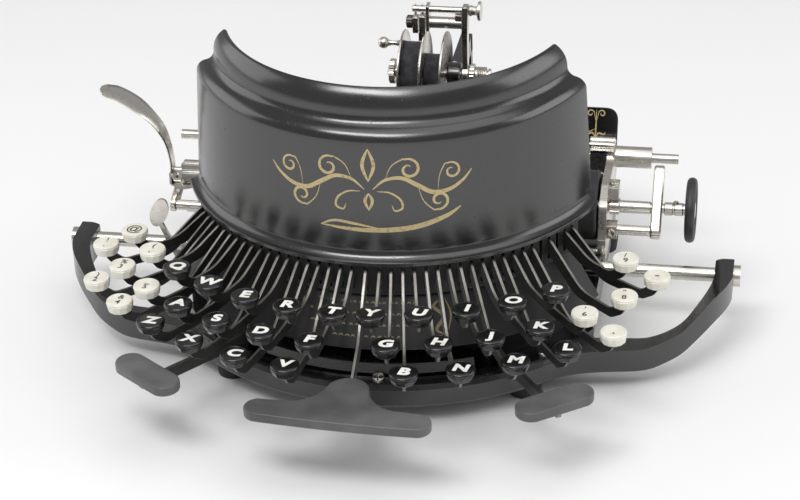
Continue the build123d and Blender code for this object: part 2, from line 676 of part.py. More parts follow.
left_spool = ribbon_spool([-4.0], (-3.0, 6.8), 16.0)
with BuildPart() as spool_left:
    add(left_spool.part)
    with BuildSketch(Plane(origin=at(0, RIBBON_Y, RIBBON_Z + 16), x_dir=(1, 0, 0), z_dir=(0, -1, 0))):
        with BuildLine():
            ball = ThreePointArc((-18.6, 0), (-15.4, 3.2), (-12.9, 1.9))
            stem = ThreePointArc(ball @ 1, (-9.0, 1.2), (-4.0, 2.4))
            Polyline(stem @ 1, (-4.0, 0), ball @ 0)
        make_face()
    revolve(axis=Axis(at(0, RIBBON_Y, RIBBON_Z + 16), (1, 0, 0)))
save("ribbon_spool_left", spool_left.part)
save("ribbon_spool_right", ribbon_spool([7.2, 17.8], (8.2, 17.8), 10.0).part)

with BuildPart() as stand:
    add(rod(-12.0, 42.0, RIBBON_Y, RIBBON_Z, AXLE_R))
    add(rod(-8.0, -4.4, RIBBON_Y, RIBBON_Z, 3.6))
    add(rod(-11.0, -8.0, RIBBON_Y, RIBBON_Z, 6.4))
    add(rod(19.4, 26.6, RIBBON_Y, RIBBON_Z, 6.0))
    add(block(20.0, 26.0, RIBBON_Y, 74, RIBBON_Z - 6, RIBBON_Z + 3))
    add(block(20.0, 26.0, 68.5, 74, RAIL_TOP, RIBBON_Z + 3))
    add(block(10.0, 36.0, 68.5, 74, RAIL_TOP, RAIL_TOP + 4))
    add(rod(31.0, 41.0, RIBBON_Y, RIBBON_Z, 4.2))
save("ribbon_stand", stand.part)

with BuildPart() as guide:
    add(block(27.2, 30.4, RIBBON_Y - 3, RIBBON_Y + 3, RIBBON_Z, 154.0))
    add(rod(27.0, 30.7, RIBBON_Y, RIBBON_Z, 5.0))
    add(rod(-4.0, 31.0, RIBBON_Y, 151.0, 1.6))
    add(rod(3.0, 28.0, RIBBON_Y, 143.8, 3.0))
    add(rod(31.0, 36.0, RIBBON_Y, 151.0, 2.5))
    add(rod(35.0, 37.5, RIBBON_Y, 151.0, 5.0))
    add(block(-6.0, 4.0, RIBBON_Y - 3, RIBBON_Y + 3, 140.0, 148.0))
    add(block(4.0, 6.0, RIBBON_Y - 3, RIBBON_Y + 3, 140.0, 153.0))
    with BuildSketch(side_plane(20)):
        with Locations((RIBBON_Y, RIBBON_Z)):
            Circle(AXLE_R + FIT)
    extrude(amount=20, mode=Mode.SUBTRACT)
save("ribbon_guide", guide.part)
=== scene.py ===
import json
import random
from math import acos, atan2, cos, degrees, hypot, pi, radians, sin

import bmesh
import bpy
from mathutils import Matrix, Vector


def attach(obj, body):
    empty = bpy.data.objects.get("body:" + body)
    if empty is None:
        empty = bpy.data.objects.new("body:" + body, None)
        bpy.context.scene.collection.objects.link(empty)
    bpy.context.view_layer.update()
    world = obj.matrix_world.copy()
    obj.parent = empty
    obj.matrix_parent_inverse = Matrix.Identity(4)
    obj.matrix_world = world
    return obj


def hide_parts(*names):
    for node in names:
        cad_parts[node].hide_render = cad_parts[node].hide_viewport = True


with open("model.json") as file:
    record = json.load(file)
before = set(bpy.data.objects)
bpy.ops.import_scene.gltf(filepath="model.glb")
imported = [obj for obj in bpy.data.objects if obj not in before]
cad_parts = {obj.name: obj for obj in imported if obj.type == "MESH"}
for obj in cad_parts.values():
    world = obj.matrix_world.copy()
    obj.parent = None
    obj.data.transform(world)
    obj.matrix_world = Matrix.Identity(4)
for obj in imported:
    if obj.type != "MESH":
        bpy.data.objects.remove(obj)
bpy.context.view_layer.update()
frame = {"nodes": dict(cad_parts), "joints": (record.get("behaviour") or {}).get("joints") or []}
random.seed(7)

# Everything below is written in millimetres from the basket axis, the upright axis that the keys,
# type bars and shield share: x to the typist's right, y to the back, z above the table. finish_piece
# turns it into metres of the frame. (r, angle) means a distance and an angle round that axis.
MM = 0.001
JOINTS = {j["name"]: j for j in frame["joints"]}
PIVOT_RADIUS = 100.0
BASKET_Y = JOINTS["space_bar_press"]["pos_m"][1] / MM + PIVOT_RADIUS


def spot(radius, angle, z):
    """The place at a distance and an angle round the basket axis."""
    a = radians(angle)
    return Vector((radius * sin(a), -radius * cos(a), z))


# --- Materials ----------------------------------------------------------------------------------
def graph(name):
    """A new material with its tree, its shader and the object coordinates."""
    material = bpy.data.materials.new(name)
    material.use_nodes = True
    tree = material.node_tree
    shader = tree.nodes["Principled BSDF"]
    coords = tree.nodes.new("ShaderNodeTexCoord")
    return material, tree, shader, coords.outputs["Object"]


def noise(tree, coords, scale, detail=4.0, stretch=None):
    """Noise of a scale per metre, drawn out along one axis where stretch says so."""
    if stretch:
        mapping = tree.nodes.new("ShaderNodeMapping")
        mapping.inputs["Scale"].default_value = stretch
        tree.links.new(coords, mapping.inputs["Vector"])
        coords = mapping.outputs["Vector"]
    node = tree.nodes.new("ShaderNodeTexNoise")
    node.inputs["Scale"].default_value = scale
    node.inputs["Detail"].default_value = detail
    tree.links.new(coords, node.inputs["Vector"])
    return node.outputs["Fac"]


def ramp(tree, value, low, high, from_value=0.0, to_value=1.0):
    """value between low and high, mapped to from_value and to_value."""
    node = tree.nodes.new("ShaderNodeMapRange")
    node.inputs["From Min"].default_value = low
    node.inputs["From Max"].default_value = high
    node.inputs["To Min"].default_value = from_value
    node.inputs["To Max"].default_value = to_value
    tree.links.new(value, node.inputs["Value"])
    return node.outputs["Result"]


def maths(tree, operation, first, second):
    """One Math node on two values."""
    node = tree.nodes.new("ShaderNodeMath")
    node.operation = operation
    for socket, value in zip(node.inputs, (first, second)):
        if isinstance(value, float):
            socket.default_value = value
        else:
            tree.links.new(value, socket)
    return node.outputs["Value"]


def blend_colours(tree, factor, first, second):
    """Two colours mixed by a factor; each is a tuple or another colour's socket."""
    node = tree.nodes.new("ShaderNodeMix")
    node.data_type = "RGBA"
    tree.links.new(factor, node.inputs["Factor"])
    for name, colour in (("A", first), ("B", second)):
        socket = next(s for s in node.inputs if s.name == name and s.type == "RGBA")
        if isinstance(colour, tuple):
            socket.default_value = (*colour, 1.0)
        else:
            tree.links.new(colour, socket)
    return next(s for s in node.outputs if s.type == "RGBA")


def edges(tree, radius):
    """1 on edges that hands and cloths rub, 0 on open surface."""
    bevel = tree.nodes.new("ShaderNodeBevel")
    bevel.samples = 4
    bevel.inputs["Radius"].default_value = radius
    geometry = tree.nodes.new("ShaderNodeNewGeometry")
    dot = tree.nodes.new("ShaderNodeVectorMath")
    dot.operation = "DOT_PRODUCT"
    tree.links.new(bevel.outputs["Normal"], dot.inputs[0])
    tree.links.new(geometry.outputs["Normal"], dot.inputs[1])
    return ramp(tree, dot.outputs["Value"], 0.995, 0.86)


def bump(tree, shader, height, distance, strength=1.0):
    """Surface relief from a height value."""
    node = tree.nodes.new("ShaderNodeBump")
    node.inputs["Distance"].default_value = distance
    node.inputs["Strength"].default_value = strength
    tree.links.new(height, node.inputs["Height"])
    tree.links.new(node.outputs["Normal"], shader.inputs["Normal"])


def painted(name, colour, roughness, wear_colour, wear=0.5, ior=1.42, dust=0.15, relief=0.00002):
    """Baked paint: slight orange peel, uneven gloss, dust, and metal showing on rubbed edges."""
    material, tree, shader, coords = graph(name)
    cloud = noise(tree, coords, 45.0, 5.0)
    fine = noise(tree, coords, 1500.0, 2.0)
    speck = ramp(tree, noise(tree, coords, 620.0, 6.0), 0.66, 0.74)
    dusty = tuple(c * 1.8 + 0.003 for c in colour)
    body = blend_colours(tree, ramp(tree, cloud, 0.35, 0.75), colour, dusty)
    spotted = blend_colours(tree, maths(tree, "MULTIPLY", speck, 0.2), body, (0.04, 0.038, 0.035))
    ragged = ramp(tree, noise(tree, coords, 260.0, 5.0), 0.50, 0.62)
    worn = maths(tree, "MULTIPLY", maths(tree, "MULTIPLY", edges(tree, 0.0007), ragged), float(wear))
    colour_out = blend_colours(tree, worn, spotted, wear_colour)
    tree.links.new(colour_out, shader.inputs["Base Color"])
    tree.links.new(worn, shader.inputs["Metallic"])
    uneven = ramp(tree, cloud, 0.3, 0.7, roughness * 0.85, roughness * 1.25)
    rough = maths(tree, "ADD", uneven, maths(tree, "MULTIPLY", speck, 0.25))
    tree.links.new(rough, shader.inputs["Roughness"])
    shader.inputs["IOR"].default_value = ior
    shader.inputs["Sheen Weight"].default_value = dust
    shader.inputs["Sheen Roughness"].default_value = 0.4
    bump(tree, shader, fine, relief)
    return material


def metal(name, colour, tarnish, roughness, grain=(1.0, 1.0, 1.0), relief=0.00002):
    """Plated or ground metal: drawn grain, tarnish in patches and small dark pits."""
    material, tree, shader, coords = graph(name)
    patches = ramp(tree, noise(tree, coords, 70.0, 6.0), 0.42, 0.72)
    pits = ramp(tree, noise(tree, coords, 900.0, 3.0), 0.68, 0.76)
    lines = noise(tree, coords, 700.0, 3.0, stretch=grain)
    plated = blend_colours(tree, maths(tree, "MULTIPLY", patches, 0.55), colour, tarnish)
    pitted = blend_colours(tree, maths(tree, "MULTIPLY", pits, 0.6), plated, (0.08, 0.07, 0.06))
    tree.links.new(pitted, shader.inputs["Base Color"])
    shader.inputs["Metallic"].default_value = 1.0
    uneven = ramp(tree, patches, 0.0, 1.0, roughness, roughness + 0.16)
    rough = maths(tree, "ADD", uneven, ramp(tree, lines, 0.3, 0.7, -0.05, 0.05))
    tree.links.new(rough, shader.inputs["Roughness"])
    bump(tree, shader, lines, relief)
    return material


def composition(name, colour, stain, roughness, coat):
    """Moulded key-top material: clouded colour, fine scratches and a slight polish."""
    material, tree, shader, coords = graph(name)
    cloud = ramp(tree, noise(tree, coords, 160.0, 6.0), 0.4, 0.72)
    scratch = ramp(tree, noise(tree, coords, 500.0, 4.0, stretch=(1.0, 6.0, 1.0)), 0.6, 0.75)
    clouded = blend_colours(tree, maths(tree, "MULTIPLY", cloud, 0.6), colour, stain)
    tree.links.new(clouded, shader.inputs["Base Color"])
    rough = ramp(tree, scratch, 0.0, 1.0, roughness, roughness + 0.2)
    tree.links.new(rough, shader.inputs["Roughness"])
    shader.inputs["Coat Weight"].default_value = coat
    shader.inputs["Coat Roughness"].default_value = 0.15
    bump(tree, shader, noise(tree, coords, 900.0, 4.0), 0.00003)
    return material


def rubber(name, colour, roughness):
    """Aged rubber: matt and grainy, with a greyish bloom."""
    material, tree, shader, coords = graph(name)
    bloom = ramp(tree, noise(tree, coords, 90.0, 6.0), 0.4, 0.75)
    paler = tuple(c * 2.0 + 0.012 for c in colour)
    tree.links.new(blend_colours(tree, bloom, colour, paler), shader.inputs["Base Color"])
    tree.links.new(ramp(tree, bloom, 0.0, 1.0, roughness, roughness + 0.15), shader.inputs["Roughness"])
    bump(tree, shader, noise(tree, coords, 1100.0, 5.0), 0.00005)
    return material


def ribbon_cloth(name):
    """Inked cotton: a tight plain weave wound edge on."""
    material, tree, shader, coords = graph(name)
    waves = []
    for direction in ("X", "Z"):
        wave = tree.nodes.new("ShaderNodeTexWave")
        wave.bands_direction = direction
        wave.inputs["Scale"].default_value = 900.0
        wave.inputs["Distortion"].default_value = 1.5
        tree.links.new(coords, wave.inputs["Vector"])
        waves.append(wave.outputs["Fac"])
    weave = maths(tree, "MULTIPLY", waves[0], waves[1])
    cloud = ramp(tree, noise(tree, coords, 240.0, 5.0), 0.4, 0.7)
    tree.links.new(blend_colours(tree, cloud, (0.012, 0.012, 0.015), (0.05, 0.047, 0.055)),
                   shader.inputs["Base Color"])
    tree.links.new(ramp(tree, weave, 0.0, 1.0, 0.75, 0.95), shader.inputs["Roughness"])
    shader.inputs["Sheen Weight"].default_value = 0.3
    bump(tree, shader, weave, 0.0001)
    return material


def gilt(name, colour):
    """Gold leaf transfer: brassy, thin in places."""
    material, tree, shader, coords = graph(name)
    thin = ramp(tree, noise(tree, coords, 800.0, 5.0), 0.55, 0.72)
    tree.links.new(blend_colours(tree, maths(tree, "MULTIPLY", thin, 0.7), colour, (0.16, 0.12, 0.06)),
                   shader.inputs["Base Color"])
    shader.inputs["Metallic"].default_value = 0.35
    tree.links.new(ramp(tree, thin, 0.0, 1.0, 0.45, 0.6), shader.inputs["Roughness"])
    return material


ENAMEL = painted("black_enamel", (0.0012, 0.0012, 0.0013), 0.2, (0.2, 0.18, 0.16), wear=0.55,
                 ior=1.85, dust=0.06)
SATIN = painted("satin_black", (0.009, 0.009, 0.0095), 0.4, (0.2, 0.18, 0.16), wear=0.4)
COMB = painted("comb_black", (0.006, 0.006, 0.0065), 0.38, (0.25, 0.23, 0.2), wear=0.8)
LEVER = painted("lever_black", (0.009, 0.0088, 0.0082), 0.3, (0.25, 0.23, 0.2), wear=0.5)
PAD = painted("pad_black", (0.075, 0.075, 0.077), 0.38, (0.12, 0.11, 0.1), wear=0.35, relief=0.00004)
NICKEL = metal("nickel", (0.72, 0.69, 0.64), (0.46, 0.42, 0.36), 0.24)
DRAWN_NICKEL = metal("nickel_rod", (0.74, 0.71, 0.66), (0.5, 0.46, 0.4), 0.2, grain=(0.15, 2.0, 2.0))
STEEL = metal("steel", (0.40, 0.385, 0.36), (0.2, 0.18, 0.16), 0.34)
LEVER_EDGE = metal("lever_edge", (0.26, 0.25, 0.23), (0.09, 0.08, 0.07), 0.4)
DARK_STEEL = metal("dark_steel", (0.12, 0.115, 0.11), (0.06, 0.055, 0.05), 0.4)
PLATEN_RUBBER = rubber("platen_rubber", (0.014, 0.014, 0.015), 0.5)
FOOT_RUBBER = rubber("foot_rubber", (0.02, 0.02, 0.02), 0.75)
KNOB = rubber("knob_black", (0.018, 0.018, 0.018), 0.42)
KEY_BLACK = composition("key_black", (0.004, 0.004, 0.0045), (0.016, 0.015, 0.014), 0.24, 0.3)
KEY_IVORY = composition("key_ivory", (0.82, 0.8, 0.72), (0.62, 0.57, 0.46), 0.3, 0.25)
WHITE_FILL = composition("white_fill", (0.86, 0.85, 0.81), (0.5, 0.48, 0.44), 0.5, 0.0)
DARK_FILL = composition("dark_fill", (0.05, 0.045, 0.04), (0.14, 0.12, 0.1), 0.5, 0.0)
GILT = gilt("gilt", (0.56, 0.45, 0.24))
FAINT_GILT = gilt("faint_gilt", (0.24, 0.19, 0.10))
RIBBON = ribbon_cloth("ribbon_cloth")


# --- Mesh helpers -------------------------------------------------------------------------------
def finish_piece(bm, name, body, materials, bevel=0.0, replaces=(), segments=2, sharp=32.0):
    """Makes the object from a mesh in millimetres, and puts it on its body."""
    bmesh.ops.recalc_face_normals(bm, faces=bm.faces)
    bm.transform(Matrix.Scale(MM, 4) @ Matrix.Translation((0.0, BASKET_Y, 0.0)))
    mesh = bpy.data.meshes.new(name)
    bm.to_mesh(mesh)
    bm.free()
    mesh.shade_smooth()
    obj = bpy.data.objects.new(name, mesh)
    bpy.context.scene.collection.objects.link(obj)
    for material in materials:
        mesh.materials.append(material)
    if bevel:
        rounding = obj.modifiers.new("rounding", "BEVEL")
        rounding.width = bevel * MM
        rounding.segments = segments
        rounding.limit_method = "ANGLE"
        rounding.angle_limit = radians(sharp)
        rounding.harden_normals = True
    else:
        mesh.set_sharp_from_angle(angle=radians(sharp))
    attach(obj, body)
    if replaces:
        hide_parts(*replaces)
    return obj


def arc(start, through, end, steps):
    """Points of the circular arc through three points of a plane, the first one left out."""
    (ax, ay), (bx, by), (cx, cy) = start, through, end
    d = 2 * (ax * (by - cy) + bx * (cy - ay) + cx * (ay - by))
    sq = [x * x + y * y for x, y in (start, through, end)]
    ux = (sq[0] * (by - cy) + sq[1] * (cy - ay) + sq[2] * (ay - by)) / d
    uy = (sq[0] * (cx - bx) + sq[1] * (ax - cx) + sq[2] * (bx - ax)) / d
    radius = hypot(ax - ux, ay - uy)
    first = atan2(ay - uy, ax - ux)
    middle = (atan2(by - uy, bx - ux) - first) % (2 * pi)
    last = (atan2(cy - uy, cx - ux) - first) % (2 * pi)
    turn = last if middle < last else last - 2 * pi
    return [(ux + radius * cos(first + turn * i / steps), uy + radius * sin(first + turn * i / steps))
            for i in range(1, steps + 1)]


def rounded(points, radii, steps=6):
    """A closed outline with each corner turned into an arc of its own radius."""
    out = []
    count = len(points)
    for i, corner in enumerate(points):
        here = Vector(corner)
        before = Vector(points[i - 1]) - here
        after = Vector(points[(i + 1) % count]) - here
        half = before.angle(after) / 2
        reach = min(radii[i] / max(sin(half) / cos(half), 1e-3), before.length * 0.48, after.length * 0.48)
        a = here + before.normalized() * reach
        b = here + after.normalized() * reach
        for k in range(steps + 1):
            t = k / steps
            out.append(tuple(a * (1 - t) ** 2 + here * 2 * t * (1 - t) + b * t * t))
    return out


def spline(points, steps=8):
    """A smooth curve through points of any dimension, as a list of points."""
    out = []
    pts = [Vector(p) for p in points]
    for i in range(len(pts) - 1):
        before = pts[i - 1] if i else pts[0] * 2 - pts[1]
        after = pts[i + 2] if i + 2 < len(pts) else pts[-1] * 2 - pts[-2]
        a, b = pts[i], pts[i + 1]
        for k in range(steps):
            t = k / steps
            out.append(0.5 * (2 * a + (b - before) * t + (2 * before - 5 * a + 4 * b - after) * t * t
                              + (3 * a - before - 3 * b + after) * t ** 3))
    out.append(pts[-1])
    return out


def prism(bm, outline, shift, sides=0, ends=0):
    """A flat outline of 3-D points pushed along a vector, closed at both ends."""
    low = [bm.verts.new(p) for p in outline]
    high = [bm.verts.new(Vector(p) + shift) for p in outline]
    for i in range(len(low)):
        j = (i + 1) % len(low)
        bm.faces.new((low[i], low[j], high[j], high[i])).material_index = sides
    for ring in (low[::-1], high):
        bm.faces.new(ring).material_index = ends


def box(bm, x0, x1, y0, y1, z0, z1, material=0):
    """A plain block; its edges are rounded by the piece's bevel."""
    corners = [(x0, y0, z0), (x1, y0, z0), (x1, y1, z0), (x0, y1, z0)]
    prism(bm, corners, Vector((0.0, 0.0, z1 - z0)), material, material)


def lathe(bm, profile, origin, axis=(1.0, 0.0, 0.0), segments=48, material=0, closed=False, lobes=0,
          lobe=0.0):
    """A profile of (distance along the axis, radius) turned round it. lobes ripple the radius."""
    axis = Vector(axis).normalized()
    across = axis.orthogonal().normalized()
    other = axis.cross(across)
    origin = Vector(origin)
    rings = []
    for along, radius in profile:
        centre = origin + axis * along
        if radius < 1e-6:
            rings.append([bm.verts.new(centre)])
            continue
        ring = []
        for k in range(segments):
            a = 2 * pi * k / segments
            r = radius * (1 + lobe * cos(lobes * a)) if lobes else radius
            ring.append(bm.verts.new(centre + (across * cos(a) + other * sin(a)) * r))
        rings.append(ring)
    pairs = list(zip(rings, rings[1:])) + ([(rings[-1], rings[0])] if closed else [])
    for a, b in pairs:
        for k in range(segments):
            n = (k + 1) % segments
            quad = [a[k % len(a)], a[n % len(a)], b[n % len(b)], b[k % len(b)]]
            corners = list(dict.fromkeys(quad))
            if len(corners) > 2:
                bm.faces.new(corners).material_index = material
    if not closed:
        for ring in (rings[0][::-1], rings[-1]):
            if len(ring) > 2:
                bm.faces.new(ring).material_index = material


def rod(bm, x0, x1, y, z, radius, chamfer=0.5, segments=32, material=0):
    """A round rod along x with chamfered ends."""
    length = x1 - x0
    profile = [(0, 0), (0, radius - chamfer), (chamfer, radius), (length - chamfer, radius),
               (length, radius - chamfer), (length, 0)]
    lathe(bm, profile, (x0, y, z), segments=segments, material=material)


def tube(bm, points, radius, segments=12, material=0):
    """A round wire along a smooth line of 3-D points."""
    rings = []
    side = None
    for i, point in enumerate(points):
        ahead = (points[min(i + 1, len(points) - 1)] - points[max(i - 1, 0)]).normalized()
        side = (ahead.orthogonal() if side is None else side - ahead * side.dot(ahead)).normalized()
        up = ahead.cross(side)
        rings.append([bm.verts.new(point + (side * cos(2 * pi * k / segments)
                                            + up * sin(2 * pi * k / segments)) * radius)
                      for k in range(segments)])
    for a, b in zip(rings, rings[1:]):
        for k in range(segments):
            n = (k + 1) % segments
            bm.faces.new((a[k], a[n], b[n], b[k])).material_index = material
    bm.faces.new(rings[0][::-1]).material_index = material
    bm.faces.new(rings[-1]).material_index = material


def screw_head(bm, origin, axis, radius, height, turn=0.6, material=0):
    """A slotted cheese-head screw: domed rim and a cut across the top."""
    start = len(bm.verts)
    rim = radius * 0.22
    profile = [(0, 0), (0, radius), (height - rim, radius), (height - rim * 0.3, radius - rim * 0.3),
               (height, radius - rim), (height, 0)]
    lathe(bm, profile, origin, axis, segments=32, material=material)
    axis = Vector(axis).normalized()
    across = axis.orthogonal().normalized()
    along = (across * cos(turn) + axis.cross(across) * sin(turn)).normalized()
    wide = axis.cross(along)
    bm.verts.ensure_lookup_table()
    top = Vector(origin) + axis * height
    for vert in bm.verts[start:]:
        offset = vert.co - top
        if abs(offset.dot(axis)) < rim * 1.1 and abs(offset.dot(wide)) < radius * 0.16:
            vert.co -= axis * height * 0.35


def new():
    """An empty mesh to add to."""
    return bmesh.new()


# --- Keys ---------------------------------------------------------------------------------------
ROWS = (
    {"radius": 146.0, "top": 74.8, "floor": 63.8, "bend": 124.0},
    {"radius": 159.2, "top": 66.3, "floor": 55.0, "bend": 131.0},
    {"radius": 170.2, "top": 58.0, "floor": 46.8, "bend": 138.0},
)
ROW_KEYS = (
    ("fig", "comma", "q", "w", "e", "r", "t", "y", "u", "i", "o", "p", "9"),
    ("exclaim", "3", "5", "a", "s", "d", "f", "g", "h", "j", "k", "6", "8", "dash"),
    ("2", "4", "z", "x", "c", "v", "b", "n", "m", "l", "dot"),
)
FIGURES = {"fig": "@", "comma": "(\n,", "exclaim": "!\n.", "3": "%\n3", "5": "_\n5", "2": ")\n2",
           "4": "&\n4", "9": "/\n9", "dash": "-", "8": "\"\n8", "6": "'\n6", "dot": "."}
CAP_HEIGHT = 5.5
CAP_RADIUS = 6.8
LEVER_THICKNESS = 1.4
LEVER_DEPTH = 4.8
ANGLES = {j["child"]: degrees(atan2(j["axis"][1], j["axis"][0])) for j in frame["joints"]
          if j["type"] == "hinge"}


def radial_outline(points, angle, offset):
    """(radius, height) points as 3-D points in the upright plane at an angle, shifted sideways."""
    a = radians(angle)
    aside = Vector((cos(a), sin(a), 0.0)) * offset
    return [spot(r, angle, z) + aside for r, z in points]


def radial_bar(bm, points, radii, angle, thickness):
    """A flat bar in a radial plane: face 0 on its flanks and face 1 on its narrow edges."""
    a = radians(angle)
    outline = rounded(points, radii)
    prism(bm, radial_outline(outline, angle, -thickness / 2),
          Vector((cos(a), sin(a), 0.0)) * thickness, sides=1, ends=0)


def lever(name, row):
    """One key lever, black on its flanks and rubbed bright along its edges."""
    radius, floor, bend = row["radius"], row["floor"], row["bend"]
    cap_bottom = row["top"] - CAP_HEIGHT
    low = floor - LEVER_DEPTH
    points = [(95.8, 76.0), (109.0, 75.6), (bend, floor + 1.5), (radius - 9, floor),
              (radius - 2.8, cap_bottom), (radius + 2.6, cap_bottom), (radius - 1.5, cap_bottom - 6.2),
              (radius - 8, low), (bend - 4, low + 1.5), (108.0, 67.8), (95.8, 67.8)]
    radii = [1.5, 5, 20, 5, 0.3, 0.8, 5, 6, 16, 5, 1.5]
    bm = new()
    radial_bar(bm, points, radii, ANGLES[name], LEVER_THICKNESS)
    return finish_piece(bm, name + "_lever", name, [LEVER, LEVER_EDGE], bevel=0.18)


def cap_profile(ivory):
    """(height, radius) of the turned top of a cap: rounded lip, thin groove, shallow dish."""
    lip = 4.3 if ivory else 3.3
    wide = CAP_RADIUS - (0.35 if ivory else 0.0)
    edge = arc((lip + 0.5, wide), (CAP_HEIGHT - 0.22, wide - 0.22), (CAP_HEIGHT, wide - 0.75), 5)
    return [(lip, 0), (lip, wide - 0.3), (lip + 0.25, wide), (lip + 0.5, wide)] + edge + \
        [(CAP_HEIGHT - 0.03, wide - 1.0), (CAP_HEIGHT - 0.16, wide - 1.12), (CAP_HEIGHT - 0.16, wide - 1.3),
         (CAP_HEIGHT - 0.06, wide - 1.45), (CAP_HEIGHT - 0.1, 0)]


def cap(name, row, ivory):
    """Faceted skirt that narrows downwards under a turned top."""
    bm = new()
    centre = spot(row["radius"], ANGLES[name], row["top"] - CAP_HEIGHT)
    if ivory:
        skirt = [(0, 0), (0, 5.7), (0.5, 6.1), (4.2, 6.75), (4.5, 6.45), (4.5, 0)]
        sides = 12
    else:
        skirt = [(0, 0), (0, 5.3), (0.4, 5.75), (3.0, 6.75), (3.5, 6.5), (3.5, 0)]
        sides = 9
    lathe(bm, skirt, centre, (0, 0, 1), segments=sides)
    lathe(bm, cap_profile(ivory), centre, (0, 0, 1), segments=56)
    material = KEY_IVORY if ivory else KEY_BLACK
    return finish_piece(bm, name + "_cap", name, [material], bevel=0.12, replaces=(name,),
                        sharp=24)


def legend(name, text, row, ivory):
    """Filled letter or figure, set in the dish of a cap."""
    curve = bpy.data.curves.new(name + "_font", "FONT")
    curve.body = text
    curve.align_x = "CENTER"
    curve.align_y = "CENTER"
    lines = text.count("\n") + 1
    curve.size = (5.0 if lines > 1 else 8.6 if not ivory else 8.0) * MM
    curve.space_line = 0.95
    curve.offset = (0.06 if ivory else 0.42) * MM
    curve.extrude = 0.07 * MM
    curve.shear = 0.0 if ivory else 0.12
    curve.resolution_u = 6
    holder = bpy.data.objects.new(name + "_font", curve)
    bpy.context.scene.collection.objects.link(holder)
    bpy.context.view_layer.update()
    mesh = bpy.data.meshes.new_from_object(holder.evaluated_get(bpy.context.evaluated_depsgraph_get()))
    bpy.data.objects.remove(holder)
    place = spot(row["radius"], ANGLES[name], row["top"] - 0.05)
    place.y += BASKET_Y
    turn = Matrix.Rotation(radians(random.uniform(-5.0, 5.0) + 0.12 * ANGLES[name]), 4, "Z")
    stretch = Matrix.Diagonal((1.0 if ivory else 1.12, 1.0 if ivory else 0.92, 1.0, 1.0))
    mesh.transform(Matrix.Translation(place * MM) @ turn @ stretch)
    mesh.name = name + "_legend"
    mesh.materials.clear()
    mesh.materials.append(DARK_FILL if ivory else WHITE_FILL)
    obj = bpy.data.objects.new(name + "_legend", mesh)
    bpy.context.scene.collection.objects.link(obj)
    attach(obj, name)


def make_keys():
    for row, names in zip(ROWS, ROW_KEYS):
        for short in names:
            name = "key_" + short
            ivory = short in FIGURES
            lever(name, row)
            cap(name, row, ivory)
            legend(name, FIGURES.get(short, short.upper()), row, ivory)


# --- Space bar and shift keys -------------------------------------------------------------------
PAD_THICKNESS = 5.0
SPACE_TOP = 42.0


def pad_solid(bm, outline, top):
    """A flat pad from its outline, pushed down from its top."""
    prism(bm, [(x, y, top - PAD_THICKNESS) for x, y in outline], Vector((0.0, 0.0, PAD_THICKNESS)))


def make_space_bar():
    half = [(0.0, -8.2)] + arc((0, -8.2), (20, -7.885), (39, -7.0), 10) + \
        arc((39, -7.0), (44.5, 0), (39.5, 6.5), 14) + [(25.0, 7.0)] + \
        arc((25, 7.0), (15, 12.5), (10, 23.0), 12) + arc((10, 23.0), (6.4, 28.75), (0, 31.0), 10)
    outline = half + [(-x, y) for x, y in reversed(half[1:-1])]
    skew = radians(-3.0)
    turned = [(-1.2 + x * cos(skew) - y * sin(skew), -182.0 + x * sin(skew) + y * cos(skew))
              for x, y in outline]
    bm = new()
    pad_solid(bm, turned, SPACE_TOP)
    finish_piece(bm, "space_bar_pad", "space_bar", [PAD], bevel=1.1, replaces=("space_bar",),
                 segments=4, sharp=60)
    bottom = SPACE_TOP - PAD_THICKNESS
    bm = new()
    radial_bar(bm, [(95.8, 76.0), (109.0, 75.6), (134.0, 50.0), (160.0, bottom), (180.0, bottom),
                    (180.0, bottom - 3.0), (158.0, bottom - 5.0), (131.0, 43.0), (108.0, 67.8),
                    (95.8, 67.8)],
               [1.5, 6, 12, 2, 0.8, 1.2, 8, 12, 6, 1.5], 0.0, LEVER_THICKNESS)
    finish_piece(bm, "space_bar_arm", "space_bar", [LEVER, LEVER_EDGE], bevel=0.18)


SHIFT_ANGLE = 31.2


def make_shift_key(side, name):
    angle = side * SHIFT_ANGLE
    centre = spot(187.0, angle, 0.0)
    direction = radians(angle + 90 + angle * 0.17 - 90)
    outline = []
    for k in range(48):
        a = 2 * pi * k / 48
        x = 7.5 * cos(a) + (12.5 if cos(a) > 0 else -12.5)
        y = 7.5 * sin(a)
        outline.append((centre.x + x * cos(direction) - y * sin(direction),
                        centre.y + x * sin(direction) + y * cos(direction)))
    bm = new()
    pad_solid(bm, outline, 44.0)
    finish_piece(bm, name + "_pad", name, [PAD], bevel=1.1, replaces=(name,), segments=4,
                 sharp=60)
    bm = new()
    radial_bar(bm, [(108.0, 34.0), (132.0, 34.0), (176.0, 39.0), (192.0, 39.0), (192.0, 36.0),
                    (178.0, 33.0), (130.0, 28.0), (108.0, 28.0)],
               [2.8, 10, 2, 0.8, 1.2, 8, 10, 2.8], angle, 2.4)
    finish_piece(bm, name + "_arm", name, [LEVER, LEVER_EDGE], bevel=0.3)


# --- Shield -------------------------------------------------------------------------------------
SHIELD_END = 31.0
SHIELD_STEPS = 180


